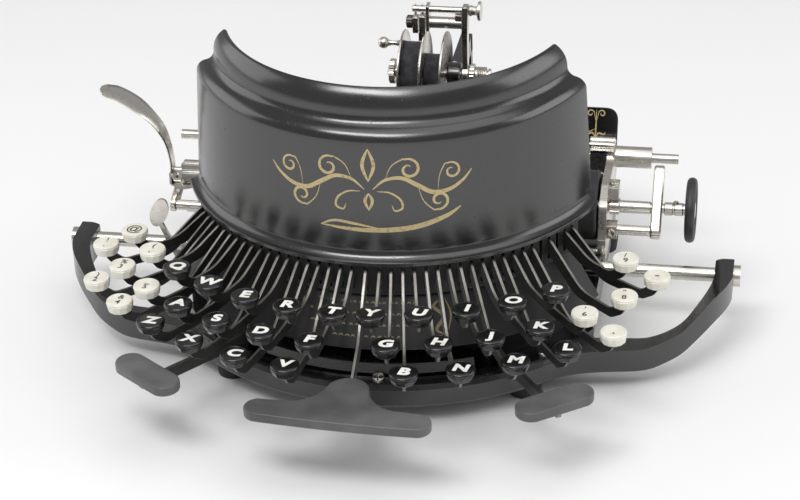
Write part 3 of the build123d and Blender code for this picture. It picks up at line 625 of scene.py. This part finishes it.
def shield_profile():
    """Closed (radius, height) section of the shield: outside from the flange up, then back inside."""
    outside = [(110.0, 78.5), (110.0, 80.5)] + arc((110.0, 80.5), (106.8, 81.9), (105.2, 86.0), 10)
    outside += [(105.2 - 2.8 * k / 24, 86.0 + 54.6 * k / 24) for k in range(1, 25)]
    outside += arc((102.4, 140.6), (101.0, 143.9), (97.6, 146.2), 10)
    outside += arc((97.6, 146.2), (94.6, 148.2), (93.5, 151.5), 10)
    outside += arc((93.5, 151.5), (92.2, 157.5), (88.0, 162.9), 14)
    inside = arc((88.0, 162.9), (86.9, 162.75), (86.2, 161.8), 4)
    inside += arc((86.2, 161.8), (90.3, 156.6), (91.5, 151.0), 12)
    inside += arc((91.5, 151.0), (92.7, 147.0), (96.2, 144.4), 8)
    inside += arc((96.2, 144.4), (99.2, 142.6), (100.4, 140.3), 8)
    inside += [(100.4 + 2.8 * k / 10, 140.3 - 54.3 * k / 10) for k in range(1, 11)] + [(103.2, 78.5)]
    return outside + inside


def make_shield():
    bm = new()
    columns = []
    for radius, z in shield_profile():
        limit = degrees(acos(min(1.0, (SHIELD_END + (4.0 if z < 84.5 else 0.0)) / radius)))
        columns.append([bm.verts.new(spot(radius, limit * (2 * k / SHIELD_STEPS - 1), z))
                        for k in range(SHIELD_STEPS + 1)])
    for i, column in enumerate(columns):
        after = columns[(i + 1) % len(columns)]
        for k in range(SHIELD_STEPS):
            bm.faces.new((column[k], column[k + 1], after[k + 1], after[k]))
    for k in (0, SHIELD_STEPS):
        bm.faces.new([column[k] for column in columns])
    finish_piece(bm, "shield", "root", [ENAMEL], bevel=0.35, replaces=("type_shield",),
                 sharp=50)


def on_shield(along, z, lift):
    """A place on the shield's wall: along its face from the middle, at a height, raised by lift."""
    radius = 105.2 - 2.8 * (z - 86.0) / 54.6 + lift
    return spot(radius, degrees(along / 104.0), z)


def stroke(bm, points, width, place, lift=0.09, taper=0.55, steps=7):
    """A pen stroke along a smooth line, thick in the middle and thin at its ends, laid on a surface."""
    line = spline(points, steps)
    last = len(line) - 1
    rings = []
    for i, point in enumerate(line):
        ahead = (line[min(i + 1, last)] - line[max(i - 1, 0)]).normalized()
        half = 0.5 * width * max(0.16, sin(pi * min(max(i / last, 0.0), 1.0)) ** taper)
        left = point + Vector((-ahead.y, ahead.x)) * half
        right = point - Vector((-ahead.y, ahead.x)) * half
        rings.append([bm.verts.new(place(q.x, q.y, h)) for q, h in
                      ((left, 0.0), (right, 0.0), (right, lift), (left, lift))])
    for a, b in zip(rings, rings[1:]):
        for k in range(4):
            n = (k + 1) % 4
            bm.faces.new((a[k], a[n], b[n], b[k]))
    bm.faces.new(rings[0][::-1])
    bm.faces.new(rings[-1])


def spiral(centre, radius, start, turns, steps=14, shrink=0.72):
    """Points of a scroll that winds inwards."""
    out = []
    for k in range(steps + 1):
        t = k / steps
        a = radians(start) + 2 * pi * turns * t
        r = radius * (1 - shrink * t)
        out.append((centre[0] + r * cos(a), centre[1] + r * sin(a)))
    return out


def scroll_ornament(bm, place, centre, size, width):
    """Symmetrical scrollwork about a centre: paired spirals, leaves and a lozenge."""
    def put(points, thick):
        for side in (-1, 1):
            moved = [(centre[0] + side * x * size, centre[1] + y * size) for x, y in points]
            stroke(bm, moved, thick * width, place)
    put([(0.04, 0.0), (0.16, 0.1), (0.32, 0.12), (0.47, 0.04), (0.61, -0.04), (0.77, -0.03), (0.91, 0.05),
         (1.0, 0.15)], 1.0)
    put([(0.16, 0.1), (0.22, 0.24), (0.32, 0.31)] + spiral((0.39, 0.21), 0.11, 110, -1.15, 20), 0.65)
    put([(0.47, 0.04), (0.52, -0.12), (0.61, -0.22)] + spiral((0.67, -0.13), 0.1, -105, 1.15, 20), 0.65)
    put([(0.66, -0.04), (0.68, 0.12), (0.73, 0.23)] + spiral((0.8, 0.16), 0.09, 115, -1.15, 20), 0.55)
    put([(0.0, 0.42), (0.055, 0.25), (0.0, 0.08)], 0.8)
    put([(0.0, -0.04), (0.035, -0.12), (0.0, -0.22)], 0.7)
    put([(0.08, -0.02), (0.2, -0.03), (0.3, -0.1), (0.32, -0.19), (0.25, -0.22), (0.22, -0.16)], 0.5)


def make_flourish():
    bm = new()
    scroll_ornament(bm, on_shield, (2.0, 117.0), 50.0, 2.2)
    stroke(bm, [(-22.0, 96.5), (0.0, 95.6), (22.0, 97.0), (38.0, 101.5), (46.0, 106.0)], 2.6, on_shield)
    stroke(bm, [(-22.0, 96.5), (-15.0, 99.4), (-5.0, 98.6), (7.0, 96.6)], 1.4, on_shield)
    finish_piece(bm, "shield_flourish", "root", [GILT])


# --- Name plate ornament ------------------------------------------------------------------------
PLATE_TOP = (105.0, 62.0)
PLATE_LIP = (122.2, 39.8)


def on_plate(along, down, lift):
    """A place on the sloping plate: along its face from the middle, and down from its top edge."""
    run = hypot(PLATE_LIP[0] - PLATE_TOP[0], PLATE_TOP[1] - PLATE_LIP[1])
    t = down / run
    radius = PLATE_TOP[0] + (PLATE_LIP[0] - PLATE_TOP[0]) * t
    z = PLATE_TOP[1] + (PLATE_LIP[1] - PLATE_TOP[1]) * t
    nx, nz = (PLATE_TOP[1] - PLATE_LIP[1]) / run, (PLATE_LIP[0] - PLATE_TOP[0]) / run
    return spot(radius + nx * lift, degrees(along / 112.0), z + nz * lift)


def make_plate_ornament():
    bm = new()
    for down, half, pitch in ((6.0, 25.0, 3.0), (11.5, 32.0, 3.6), (17.0, 27.0, 3.2), (22.5, 18.0, 3.0)):
        x = -half
        while x < half:
            length = pitch * random.uniform(0.45, 0.85)
            stroke(bm, [(x, down), (x + length * 0.5, down - 0.8), (x + length, down)], 0.7, on_plate,
                   steps=3)
            x += pitch
    for side in (-1, 1):
        stroke(bm, [(side * 36.0, 5.0), (side * 33.0, 8.0), (side * 37.5, 13.0), (side * 33.5, 19.0),
                    (side * 37.0, 22.0)], 1.8, on_plate)
        stroke(bm, [(side * 39.0, 4.0), (side * 41.0, 12.0), (side * 39.0, 20.0)], 0.9, on_plate)
    finish_piece(bm, "name_plate_ornament", "root", [FAINT_GILT])


# --- Carriage -----------------------------------------------------------------------------------
CARRIAGE_X = 4.0
LEFT = CARRIAGE_X - 98.0
RIGHT = CARRIAGE_X + 98.0
PLATEN_Y = 5.0
PLATEN_Z = 56.0
BAR_RIGHT = 131.0
BAR_LEFT = -123.0


def make_platen():
    bm = new()
    length = RIGHT - LEFT - 2
    ends = arc((0, 16.6), (0.45, 17.55), (1.4, 18.0), 5)
    far = [(length - a, r) for a, r in reversed(ends)] + [(length, 16.6)]
    lathe(bm, [(0.6, 0), (0.6, 13.5), (0, 14.5), (0, 16.6)] + ends + far
          + [(length, 14.5), (length - 0.6, 13.5), (length - 0.6, 0)],
          (LEFT + 1, PLATEN_Y, PLATEN_Z), segments=96)
    finish_piece(bm, "platen_rubber", "platen", [PLATEN_RUBBER],
                 replaces=("platen_roller",))
    bm = new()
    rod(bm, BAR_LEFT - 3.5, RIGHT + 45, PLATEN_Y, PLATEN_Z, 2.5)
    rod(bm, RIGHT + 4.3, RIGHT + 10, PLATEN_Y, PLATEN_Z, 4.4, 0.6)
    rod(bm, RIGHT + 9, BAR_RIGHT - 3.1, PLATEN_Y, PLATEN_Z, 3.3)
    finish_piece(bm, "platen_shaft", "platen", [DRAWN_NICKEL])


def make_knob():
    x = 148.3
    rim = [(-1.2, 0), (-1.2, 9.0), (-1.7, 12.0)]
    rim += arc((-1.7, 12.0), (-2.6, 14.4), (-1.9, 16.1), 8) + arc((-1.9, 16.1), (0.0, 16.8), (1.9, 16.1), 8)
    rim += arc((1.9, 16.1), (2.6, 14.4), (1.7, 12.0), 8) + [(1.2, 9.0), (1.2, 0)]
    bm = new()
    lathe(bm, rim, (x, PLATEN_Y, PLATEN_Z), segments=72)
    finish_piece(bm, "platen_knob_wheel", "platen", [KNOB], replaces=("platen_knob",),
                 sharp=60)
    bm = new()
    lathe(bm, [(0, 0), (0, 2.9), (0.4, 3.4), (4.2, 3.4), (4.6, 2.9), (5.2, 2.9), (5.6, 3.4), (9.4, 3.4),
               (9.8, 3.0), (11.0, 3.0), (11.0, 0)], (BAR_RIGHT + 3.6, PLATEN_Y, PLATEN_Z), segments=40)
    rod(bm, x + 1.0, x + 2.2, PLATEN_Y, PLATEN_Z, 4.4, 0.4)
    screw_head(bm, (BAR_RIGHT + 9.5, PLATEN_Y, PLATEN_Z + 3.2), (0, 0, 1), 1.4, 1.2)
    finish_piece(bm, "platen_knob_hub", "platen", [NICKEL], bevel=0.12)


def make_paper_table():
    low, high = Vector((52.5, 60.0)), Vector((62.7, 83.6))
    along = (high - low).normalized()
    run = (high - low).length
    half, corner = 101.6, 7.0
    outline = rounded([(-half, 0.0), (half, 0.0), (half, run), (-half, run)], [0.8, 0.8, corner, corner], 8)
    normal = Vector((along.y, -along.x))
    points = [(CARRIAGE_X + x, *(low + along * v + normal * 0.8)) for x, v in outline]
    bm = new()
    prism(bm, points, Vector((0.0, *(-normal * 1.6))))
    finish_piece(bm, "paper_table_plate", "carriage", [ENAMEL], bevel=0.3,
                 replaces=("paper_table",), sharp=60)

    def on_table(x, up, lift):
        where = low + along * up - normal * (0.8 + lift)
        return Vector((x, where.x, where.y))

    bm = new()
    for side in (-1, 1):
        centre = CARRIAGE_X + side * 90.0
        for flip in (-1, 1):
            stroke(bm, [(centre, 9.5), (centre + flip * 1.6, 12.0), (centre + flip * 4.2, 11.4),
                        (centre + flip * 5.2, 12.6)], 0.9, on_table)
            stroke(bm, [(centre, 17.5), (centre + flip * 0.8, 21.0)] + spiral(
                (centre + flip * 3.0, 22.4), 2.0, 180 if flip > 0 else 0, -flip * 1.1), 0.7, on_table)
        stroke(bm, [(centre, 6.0), (centre, 24.6)], 0.7, on_table)
        stroke(bm, [(centre, 14.5), (centre - side * 4, 12.6), (centre - side * 9, 14.0),
                    (centre - side * 9.5, 19.0),
                    (centre - side * 5.5, 20.0), (centre - side * 5.0, 17.0)], 0.8, on_table)
        stroke(bm, [(centre - side * 9, 14.5), (centre - side * 14, 20.5), (centre - side * 20, 17.0),
                    (centre - side * 26, 20.5), (centre - side * 32, 18.0)], 0.9, on_table)
    finish_piece(bm, "paper_table_ornament", "carriage", [GILT])


def make_carriage_details():
    bm = new()
    for x, side in ((RIGHT + 4, 1), (LEFT - 4, -1)):
        inner, outer = sorted((x, x + side * 5.5))
        box(bm, inner, outer, 0.0, 10.0, 62.0, 69.0)
        box(bm, inner, outer, -9.0, -1.5, 44.3, 51.4)
        screw_head(bm, (x + side * 2.7, 5.0, 68.8), (0, 0, 1), 2.4, 1.4)
        screw_head(bm, (x + side * 2.7, -9.0, 48.0), (0, -1, 0), 2.2, 1.2, turn=1.1)
    finish_piece(bm, "carriage_clamps", "carriage", [NICKEL], bevel=0.5, segments=3)
    bm = new()
    for inner, outer, screw_x in ((RIGHT - 9, RIGHT + 3.6, RIGHT - 3.0),
                                  (LEFT - 3.6, LEFT + 9, LEFT + 3.0)):
        box(bm, inner, outer, 36.8, 50.5, 69.6, 71.2)
        rod(bm, inner - 1, outer, 42.0, 71.7, 2.0)
        rod(bm, inner - 1, outer, 46.6, 71.9, 2.2)
        box(bm, inner, outer - 0.6, 36.8, 38.9, 52.0, 70.6)
        screw_head(bm, (screw_x, 36.8, 55.6), (0, -1, 0), 2.7, 1.3, turn=0.4)
    finish_piece(bm, "carriage_brackets", "carriage", [NICKEL], bevel=0.35)
    bm = new()
    x = LEFT + 11
    while x < RIGHT - 11:
        prism(bm, [(x, 50.0, 65.9), (x + 1.6, 50.0, 65.9), (x + 0.8, 50.0, 67.4)], Vector((0.0, 2.6, 0.0)))
        x += 2.2
    finish_piece(bm, "carriage_rack", "carriage", [STEEL])
    bm = new()
    for centre in (-58.0, -20.0, 28.0, 66.0):
        tube(bm, [Vector((centre, y, z)) for y, z in
                  spline([(51.4, 65.6), (48.5, 71.0), (38.0, 73.6), (26.0, 73.4), (18.5, 71.2)], 6)], 0.8)
        lathe(bm, [(-4, 0), (-4, 2.6), (-3.4, 3.1), (3.4, 3.1), (4, 2.6), (4, 0)],
              (centre, 17.6, 70.6), segments=28, material=1)
    finish_piece(bm, "paper_fingers", "carriage", [NICKEL, PLATEN_RUBBER], sharp=40)


# --- Return lever -------------------------------------------------------------------------------
def make_return_lever():
    """Curved leaf that broadens to a rounded tip, with its strap, link, knurled drum and hub."""
    line = spline([(-124.6, 61.0), (-124.4, 72.0), (-127.6, 86.0), (-135.0, 96.8), (-146.0, 105.2),
                   (-159.6, 110.6)], 10)
    last = len(line) - 1
    half_width = [(0.0, 3.6), (0.25, 3.6), (0.5, 5.6), (0.75, 8.2), (0.9, 8.6), (0.97, 6.4), (1.0, 1.6)]
    bm = new()
    rings = []
    for i, point in enumerate(line):
        t = i / last
        (t0, w0), (t1, w1) = next((a, b) for a, b in zip(half_width, half_width[1:]) if t <= b[0] + 1e-9)
        k = (t - t0) / (t1 - t0)
        k = k * k * (3 - 2 * k)
        half = w0 + (w1 - w0) * k
        ahead = (line[min(i + 1, last)] - line[max(i - 1, 0)]).normalized()
        normal = Vector((ahead.y, -ahead.x))
        thick = 0.75 - 0.2 * t
        section = [(-half, 0.0), (-half * 0.92, thick * 0.8), (0.0, thick * (1.0 - 0.35 * t)),
                   (half * 0.92, thick * 0.8), (half, 0.0), (half * 0.92, -thick * 0.8), (0.0, -thick),
                   (-half * 0.92, -thick * 0.8)]
        rings.append([bm.verts.new((point.x + normal.x * n, 2.4 + w, point.y + normal.y * n))
                      for w, n in section])
    for a, b in zip(rings, rings[1:]):
        for k in range(8):
            n = (k + 1) % 8
            bm.faces.new((a[k], a[n], b[n], b[k]))
    bm.faces.new(rings[0][::-1])
    bm.faces.new(rings[-1])
    finish_piece(bm, "return_leaf", "return_lever", [NICKEL], replaces=("return_lever",),
                 sharp=50)
    bm = new()
    strap = [(-124.6, 64.0), (-124.4, 58.6), (-122.6, 56.6), (-118.0, 56.2), (-111.5, 57.6)]
    half_height = 1.1
    for y in (-1.4, 5.2):
        prism(bm, [(x, y, z + half_height) for x, z in strap]
              + [(x, y, z - half_height) for x, z in reversed(strap)], Vector((0.0, 1.4, 0.0)))
    box(bm, -125.6, -123.4, -1.4, 6.6, 57.6, 64.0)
    rod(bm, -124.0, -104.0, 2.6, 64.6, 1.6)
    tube(bm, [Vector(p) for p in ((-117.0, 2.4, 63.0), (-121.0, 1.0, 54.0), (-125.2, 0.0, 45.4))], 1.5, 16)
    rod(bm, -126.4, -123.4, 0.0, 44.4, 3.2, 0.4)
    rod(bm, -123.4, -104.0, 0.0, 44.4, 2.2, 0.3)
    rod(bm, -117.6, -107.0, 0.0, 44.4, 3.0, 0.5)
    finish_piece(bm, "return_strap", "return_lever", [NICKEL], bevel=0.3)
    bm = new()
    knurled(bm, -118.4, -106.0, 5.6, 2.6, 64.6, 34)
    finish_piece(bm, "return_drum", "return_lever", [STEEL], sharp=40)
    bm = new()
    hub = [(0, 2.55), (0, 7.0), (0.6, 7.6), (1.6, 7.6), (2.1, 7.2), (2.6, 7.9), (9.2, 7.9), (9.7, 7.3),
           (10.2, 7.6), (11.2, 7.6), (11.7, 7.0), (11.7, 2.55)]
    lathe(bm, hub, (LEFT - 16, PLATEN_Y, PLATEN_Z), segments=72, closed=True, lobes=36, lobe=0.012)
    finish_piece(bm, "return_hub", "return_lever", [NICKEL], sharp=40)


# --- Ribbon mechanism ---------------------------------------------------------------------------
RIBBON_Y = 30.0
RIBBON_Z = 115.0


def disc(bm, x, radius, hole=2.55, thickness=1.0, material=0):
    """A thin stamped disc with a rolled rim."""
    lathe(bm, [(0.2, hole), (0.2, radius - 1.2), (0.0, radius - 0.8), (0.0, radius - 0.2), (0.3, radius),
               (thickness - 0.3, radius), (thickness, radius - 0.2), (thickness, radius - 0.8),
               (thickness - 0.2, radius - 1.2), (thickness - 0.2, hole)],
          (x, RIBBON_Y, RIBBON_Z), segments=72, closed=True, material=material)


def wound(bm, x0, x1, radius, material):
    """Ribbon wound on a spool: each turn's edge stands a little proud of the next."""
    width = x1 - x0
    outer = [(width * k / 6, radius - (0.12 if k % 2 else 0.0)) for k in range(7)]
    lathe(bm, [(0, 2.6)] + outer + [(width, 2.6)], (x0, RIBBON_Y, RIBBON_Z), segments=64, closed=True,
          material=material)


def knurled(bm, x0, x1, radius, y, z, lobes=30):
    """A thumb nut with a knurled rim."""
    length = x1 - x0
    lathe(bm, [(0, 0), (0, radius - 0.8), (0.5, radius), (length - 0.5, radius), (length, radius - 0.8),
               (length, 0)], (x0, y, z), segments=lobes * 4, lobes=lobes, lobe=0.022)


def make_ribbon():
    bm = new()
    disc(bm, -4.0, 22.0)
    wound(bm, -3.0, 6.4, 16.0, 1)
    for k in range(60):
        a = 2 * pi * k / 60
        prism(bm, [(6.2, RIBBON_Y + r * cos(b), RIBBON_Z + r * sin(b)) for r, b in
                   ((15.4, a - 0.03), (16.9, a - 0.012), (16.9, a + 0.012), (15.4, a + 0.03))],
              Vector((0.6, 0.0, 0.0)))
    stem = [(-16.8, 0)] + arc((-16.8, 0), (-13.8, 3.0), (-11.4, 1.8), 12) + \
        arc((-11.4, 1.8), (-8.0, 1.2), (-4.0, 2.4), 8) + [(-4.0, 0)]
    lathe(bm, stem, (0.0, RIBBON_Y, RIBBON_Z + 16), segments=32)
    finish_piece(bm, "ribbon_spool_full", "ribbon_spool_left", [NICKEL, RIBBON],
                 replaces=("ribbon_spool_left",), sharp=40)
    bm = new()
    disc(bm, 7.2, 22.0)
    disc(bm, 17.8, 22.0)
    wound(bm, 8.2, 17.8, 10.0, 1)
    finish_piece(bm, "ribbon_spool_empty", "ribbon_spool_right", [NICKEL, RIBBON],
                 replaces=("ribbon_spool_right",), sharp=40)
    bm = new()
    knurled(bm, -11.0, -7.6, 6.4, RIBBON_Y, RIBBON_Z)
    rod(bm, -8.0, -4.4, RIBBON_Y, RIBBON_Z, 3.2)
    rod(bm, -12.0, 41.8, RIBBON_Y, RIBBON_Z, 2.4)
    knurled(bm, 31.0, 34.0, 5.6, RIBBON_Y, RIBBON_Z, 24)
    coil_turns, coil_steps, coil_radius = 6, 15, 4.0
    coil = []
    for t in range(coil_turns * coil_steps + 1):
        a = 2 * pi * t / coil_steps
        coil.append(Vector((34.2 + t / coil_steps, RIBBON_Y + coil_radius * cos(a),
                            RIBBON_Z + coil_radius * sin(a))))
    tube(bm, coil, 0.42, 8)
    rod(bm, 40.6, 42.0, RIBBON_Y, RIBBON_Z, 3.6, 0.4)
    finish_piece(bm, "ribbon_axle", "root", [NICKEL], sharp=40)
    bm = new()
    rod(bm, 19.4, 26.6, RIBBON_Y, RIBBON_Z, 6.0, 0.8)
    box(bm, 20.0, 26.0, RIBBON_Y, 74.0, 109.0, 118.0)
    box(bm, 20.0, 26.0, 68.5, 74.0, 28.0, 117.9)
    box(bm, 10.0, 36.0, 68.5, 74.0, 28.0, 32.0)
    for x in (14.0, 32.0):
        screw_head(bm, (x, 71.2, 32.0), (0, 0, 1), 2.2, 1.4, material=1)
    screw_head(bm, (22.4, 34.0, 118.0), (0, 0, 1), 1.9, 1.6, material=1)
    finish_piece(bm, "ribbon_post", "root", [ENAMEL, NICKEL], bevel=0.6, segments=3,
                 replaces=("ribbon_stand",))


def make_ribbon_guide():
    bm = new()
    arm = rounded([(27.5, 113.0), (30.2, 113.0), (30.4, 138.0), (30.9, 153.6), (27.6, 153.6),
                   (27.3, 138.0)],
                  [1, 1, 8, 1.2, 1.2, 8])
    prism(bm, [(x, RIBBON_Y - 2.8, z) for x, z in arm], Vector((0.0, 5.6, 0.0)))
    rod(bm, 27.0, 30.8, RIBBON_Y, RIBBON_Z, 5.0, 0.5)
    rod(bm, 1.6, 31.0, RIBBON_Y, 151.0, 1.7)
    rod(bm, 9.4, 28.0, RIBBON_Y, 143.8, 3.0, 0.4)
    box(bm, 24.0, 27.8, RIBBON_Y - 2.4, RIBBON_Y + 2.4, 142.0, 149.0)
    lathe(bm, [(0, 0), (0, 2.4), (1.0, 2.9), (2.2, 2.4), (3.4, 2.2), (4.4, 3.0), (4.9, 5.0), (6.2, 5.0),
               (6.5, 4.6), (6.5, 0)], (31.0, RIBBON_Y, 151.0), segments=36)
    box(bm, 9.0, 10.8, RIBBON_Y - 3, RIBBON_Y + 3, 139.6, 153.6)
    box(bm, 5.4, 8.6, RIBBON_Y - 2.8, RIBBON_Y + 2.8, 137.7, 147.6)
    box(bm, 2.0, 4.9, RIBBON_Y - 3.0, RIBBON_Y + 2.4, 138.4, 147.0)
    for x in (3.4, 7.0):
        rod_up = [(0, 0), (0, 0.7), (12.0, 0.7), (12.6, 0.4), (12.6, 0)]
        lathe(bm, rod_up, (x, RIBBON_Y, 141.0), (0, 0, 1), segments=16)
    finish_piece(bm, "ribbon_yoke", "ribbon_guide", [NICKEL], bevel=0.3,
                 replaces=("ribbon_guide",))
    bm = new()
    knurled(bm, -1.4, 2.2, 3.3, RIBBON_Y, 143.6, 18)
    box(bm, 5.0, 6.9, RIBBON_Y - 2.2, RIBBON_Y + 2.2, 133.8, 138.0)
    finish_piece(bm, "ribbon_yoke_nut", "ribbon_guide", [DARK_STEEL])


# --- CAD nodes that are shown as they are ---------------------------------------------------------
CAD_FINISH = {
    "base_frame": ENAMEL, "segment_comb": COMB, "type_bars": STEEL, "name_plate": SATIN,
    "frame_hardware": DRAWN_NICKEL, "rubber_feet": FOOT_RUBBER, "shift_frame": STEEL,
    "carriage_frame": NICKEL, "carriage_rods": DRAWN_NICKEL, "feed_roller": PLATEN_RUBBER,
}


def finish_cad_nodes():
    for name, material in CAD_FINISH.items():
        node = frame["nodes"][name]
        node.data.materials.clear()
        node.data.materials.append(material)


# --- Stage --------------------------------------------------------------------------------------
AZIMUTH, ELEVATION, ROLL = 10.65, 29.63, -1.93
DISTANCE = 1.2
LENS = 108.0
TARGET = Vector((0.0074, 0.0032, 0.058))


def make_camera():
    a, e, roll = radians(AZIMUTH), radians(ELEVATION), radians(ROLL)
    look = Vector((-sin(a) * cos(e), cos(a) * cos(e), -sin(e)))
    right = Vector((cos(a), sin(a), 0.0))
    up = right.cross(look)
    turned_right = right * cos(roll) + up * sin(roll)
    turned_up = up * cos(roll) - right * sin(roll)
    data = bpy.data.cameras.new("camera")
    data.lens = LENS
    data.sensor_width = 36.0
    data.clip_start, data.clip_end = 0.05, 50.0
    camera = bpy.data.objects.new("camera", data)
    basis = Matrix((turned_right, turned_up, -look)).transposed().to_4x4()
    camera.matrix_world = Matrix.Translation(TARGET - look * DISTANCE) @ basis
    bpy.context.scene.collection.objects.link(camera)
    bpy.context.scene.camera = camera


def make_floor():
    bm = bmesh.new()
    bmesh.ops.create_grid(bm, x_segments=2, y_segments=2, size=8.0)
    mesh = bpy.data.meshes.new("floor")
    bm.to_mesh(mesh)
    bm.free()
    material, tree, shader, coords = graph("paper_floor")
    tone = ramp(tree, noise(tree, coords, 3.0, 2.0), 0.3, 0.7)
    tree.links.new(blend_colours(tree, tone, (0.86, 0.86, 0.86), (0.88, 0.88, 0.88)),
                   shader.inputs["Base Color"])
    shader.inputs["Roughness"].default_value = 0.9
    shader.inputs["Specular IOR Level"].default_value = 0.1
    mesh.materials.append(material)
    floor = bpy.data.objects.new("floor", mesh)
    bpy.context.scene.collection.objects.link(floor)


def soft_light(name, place, aim, size, watts):
    data = bpy.data.lights.new(name, "AREA")
    data.shape = "RECTANGLE"
    data.size, data.size_y = size
    data.energy = watts
    light = bpy.data.objects.new(name, data)
    light.location = place
    light.rotation_mode = "QUATERNION"
    light.rotation_quaternion = (Vector(aim) - Vector(place)).to_track_quat("-Z", "Y")
    bpy.context.scene.collection.objects.link(light)


def make_lights():
    world = bpy.data.worlds.new("studio")
    world.use_nodes = True
    world.node_tree.nodes["Background"].inputs["Color"].default_value = (1.0, 1.0, 1.0, 1.0)
    world.node_tree.nodes["Background"].inputs["Strength"].default_value = 0.36
    bpy.context.scene.world = world
    soft_light("top", (0.3, -0.3, 1.8), (0.0, 0.0, 0.0), (2.2, 2.0), 15.0)
    soft_light("front", (-0.2, -0.68, 1.2), (0.0, 0.0, 0.12), (0.8, 0.36), 8.0)
    soft_light("left", (-1.6, 0.3, 0.7), (0.0, 0.0, 0.05), (1.4, 1.2), 7.0)
    soft_light("right", (1.5, 0.2, 0.7), (0.0, 0.0, 0.05), (1.2, 1.0), 7.0)
    bpy.context.scene.view_settings.view_transform = "Standard"


make_keys()
make_space_bar()
make_shift_key(-1, "shift_key_left")
make_shift_key(1, "shift_key_right")
make_shield()
make_flourish()
make_plate_ornament()
make_platen()
make_knob()
make_paper_table()
make_carriage_details()
make_return_lever()
make_ribbon()
make_ribbon_guide()
finish_cad_nodes()
make_camera()
make_floor()
make_lights()
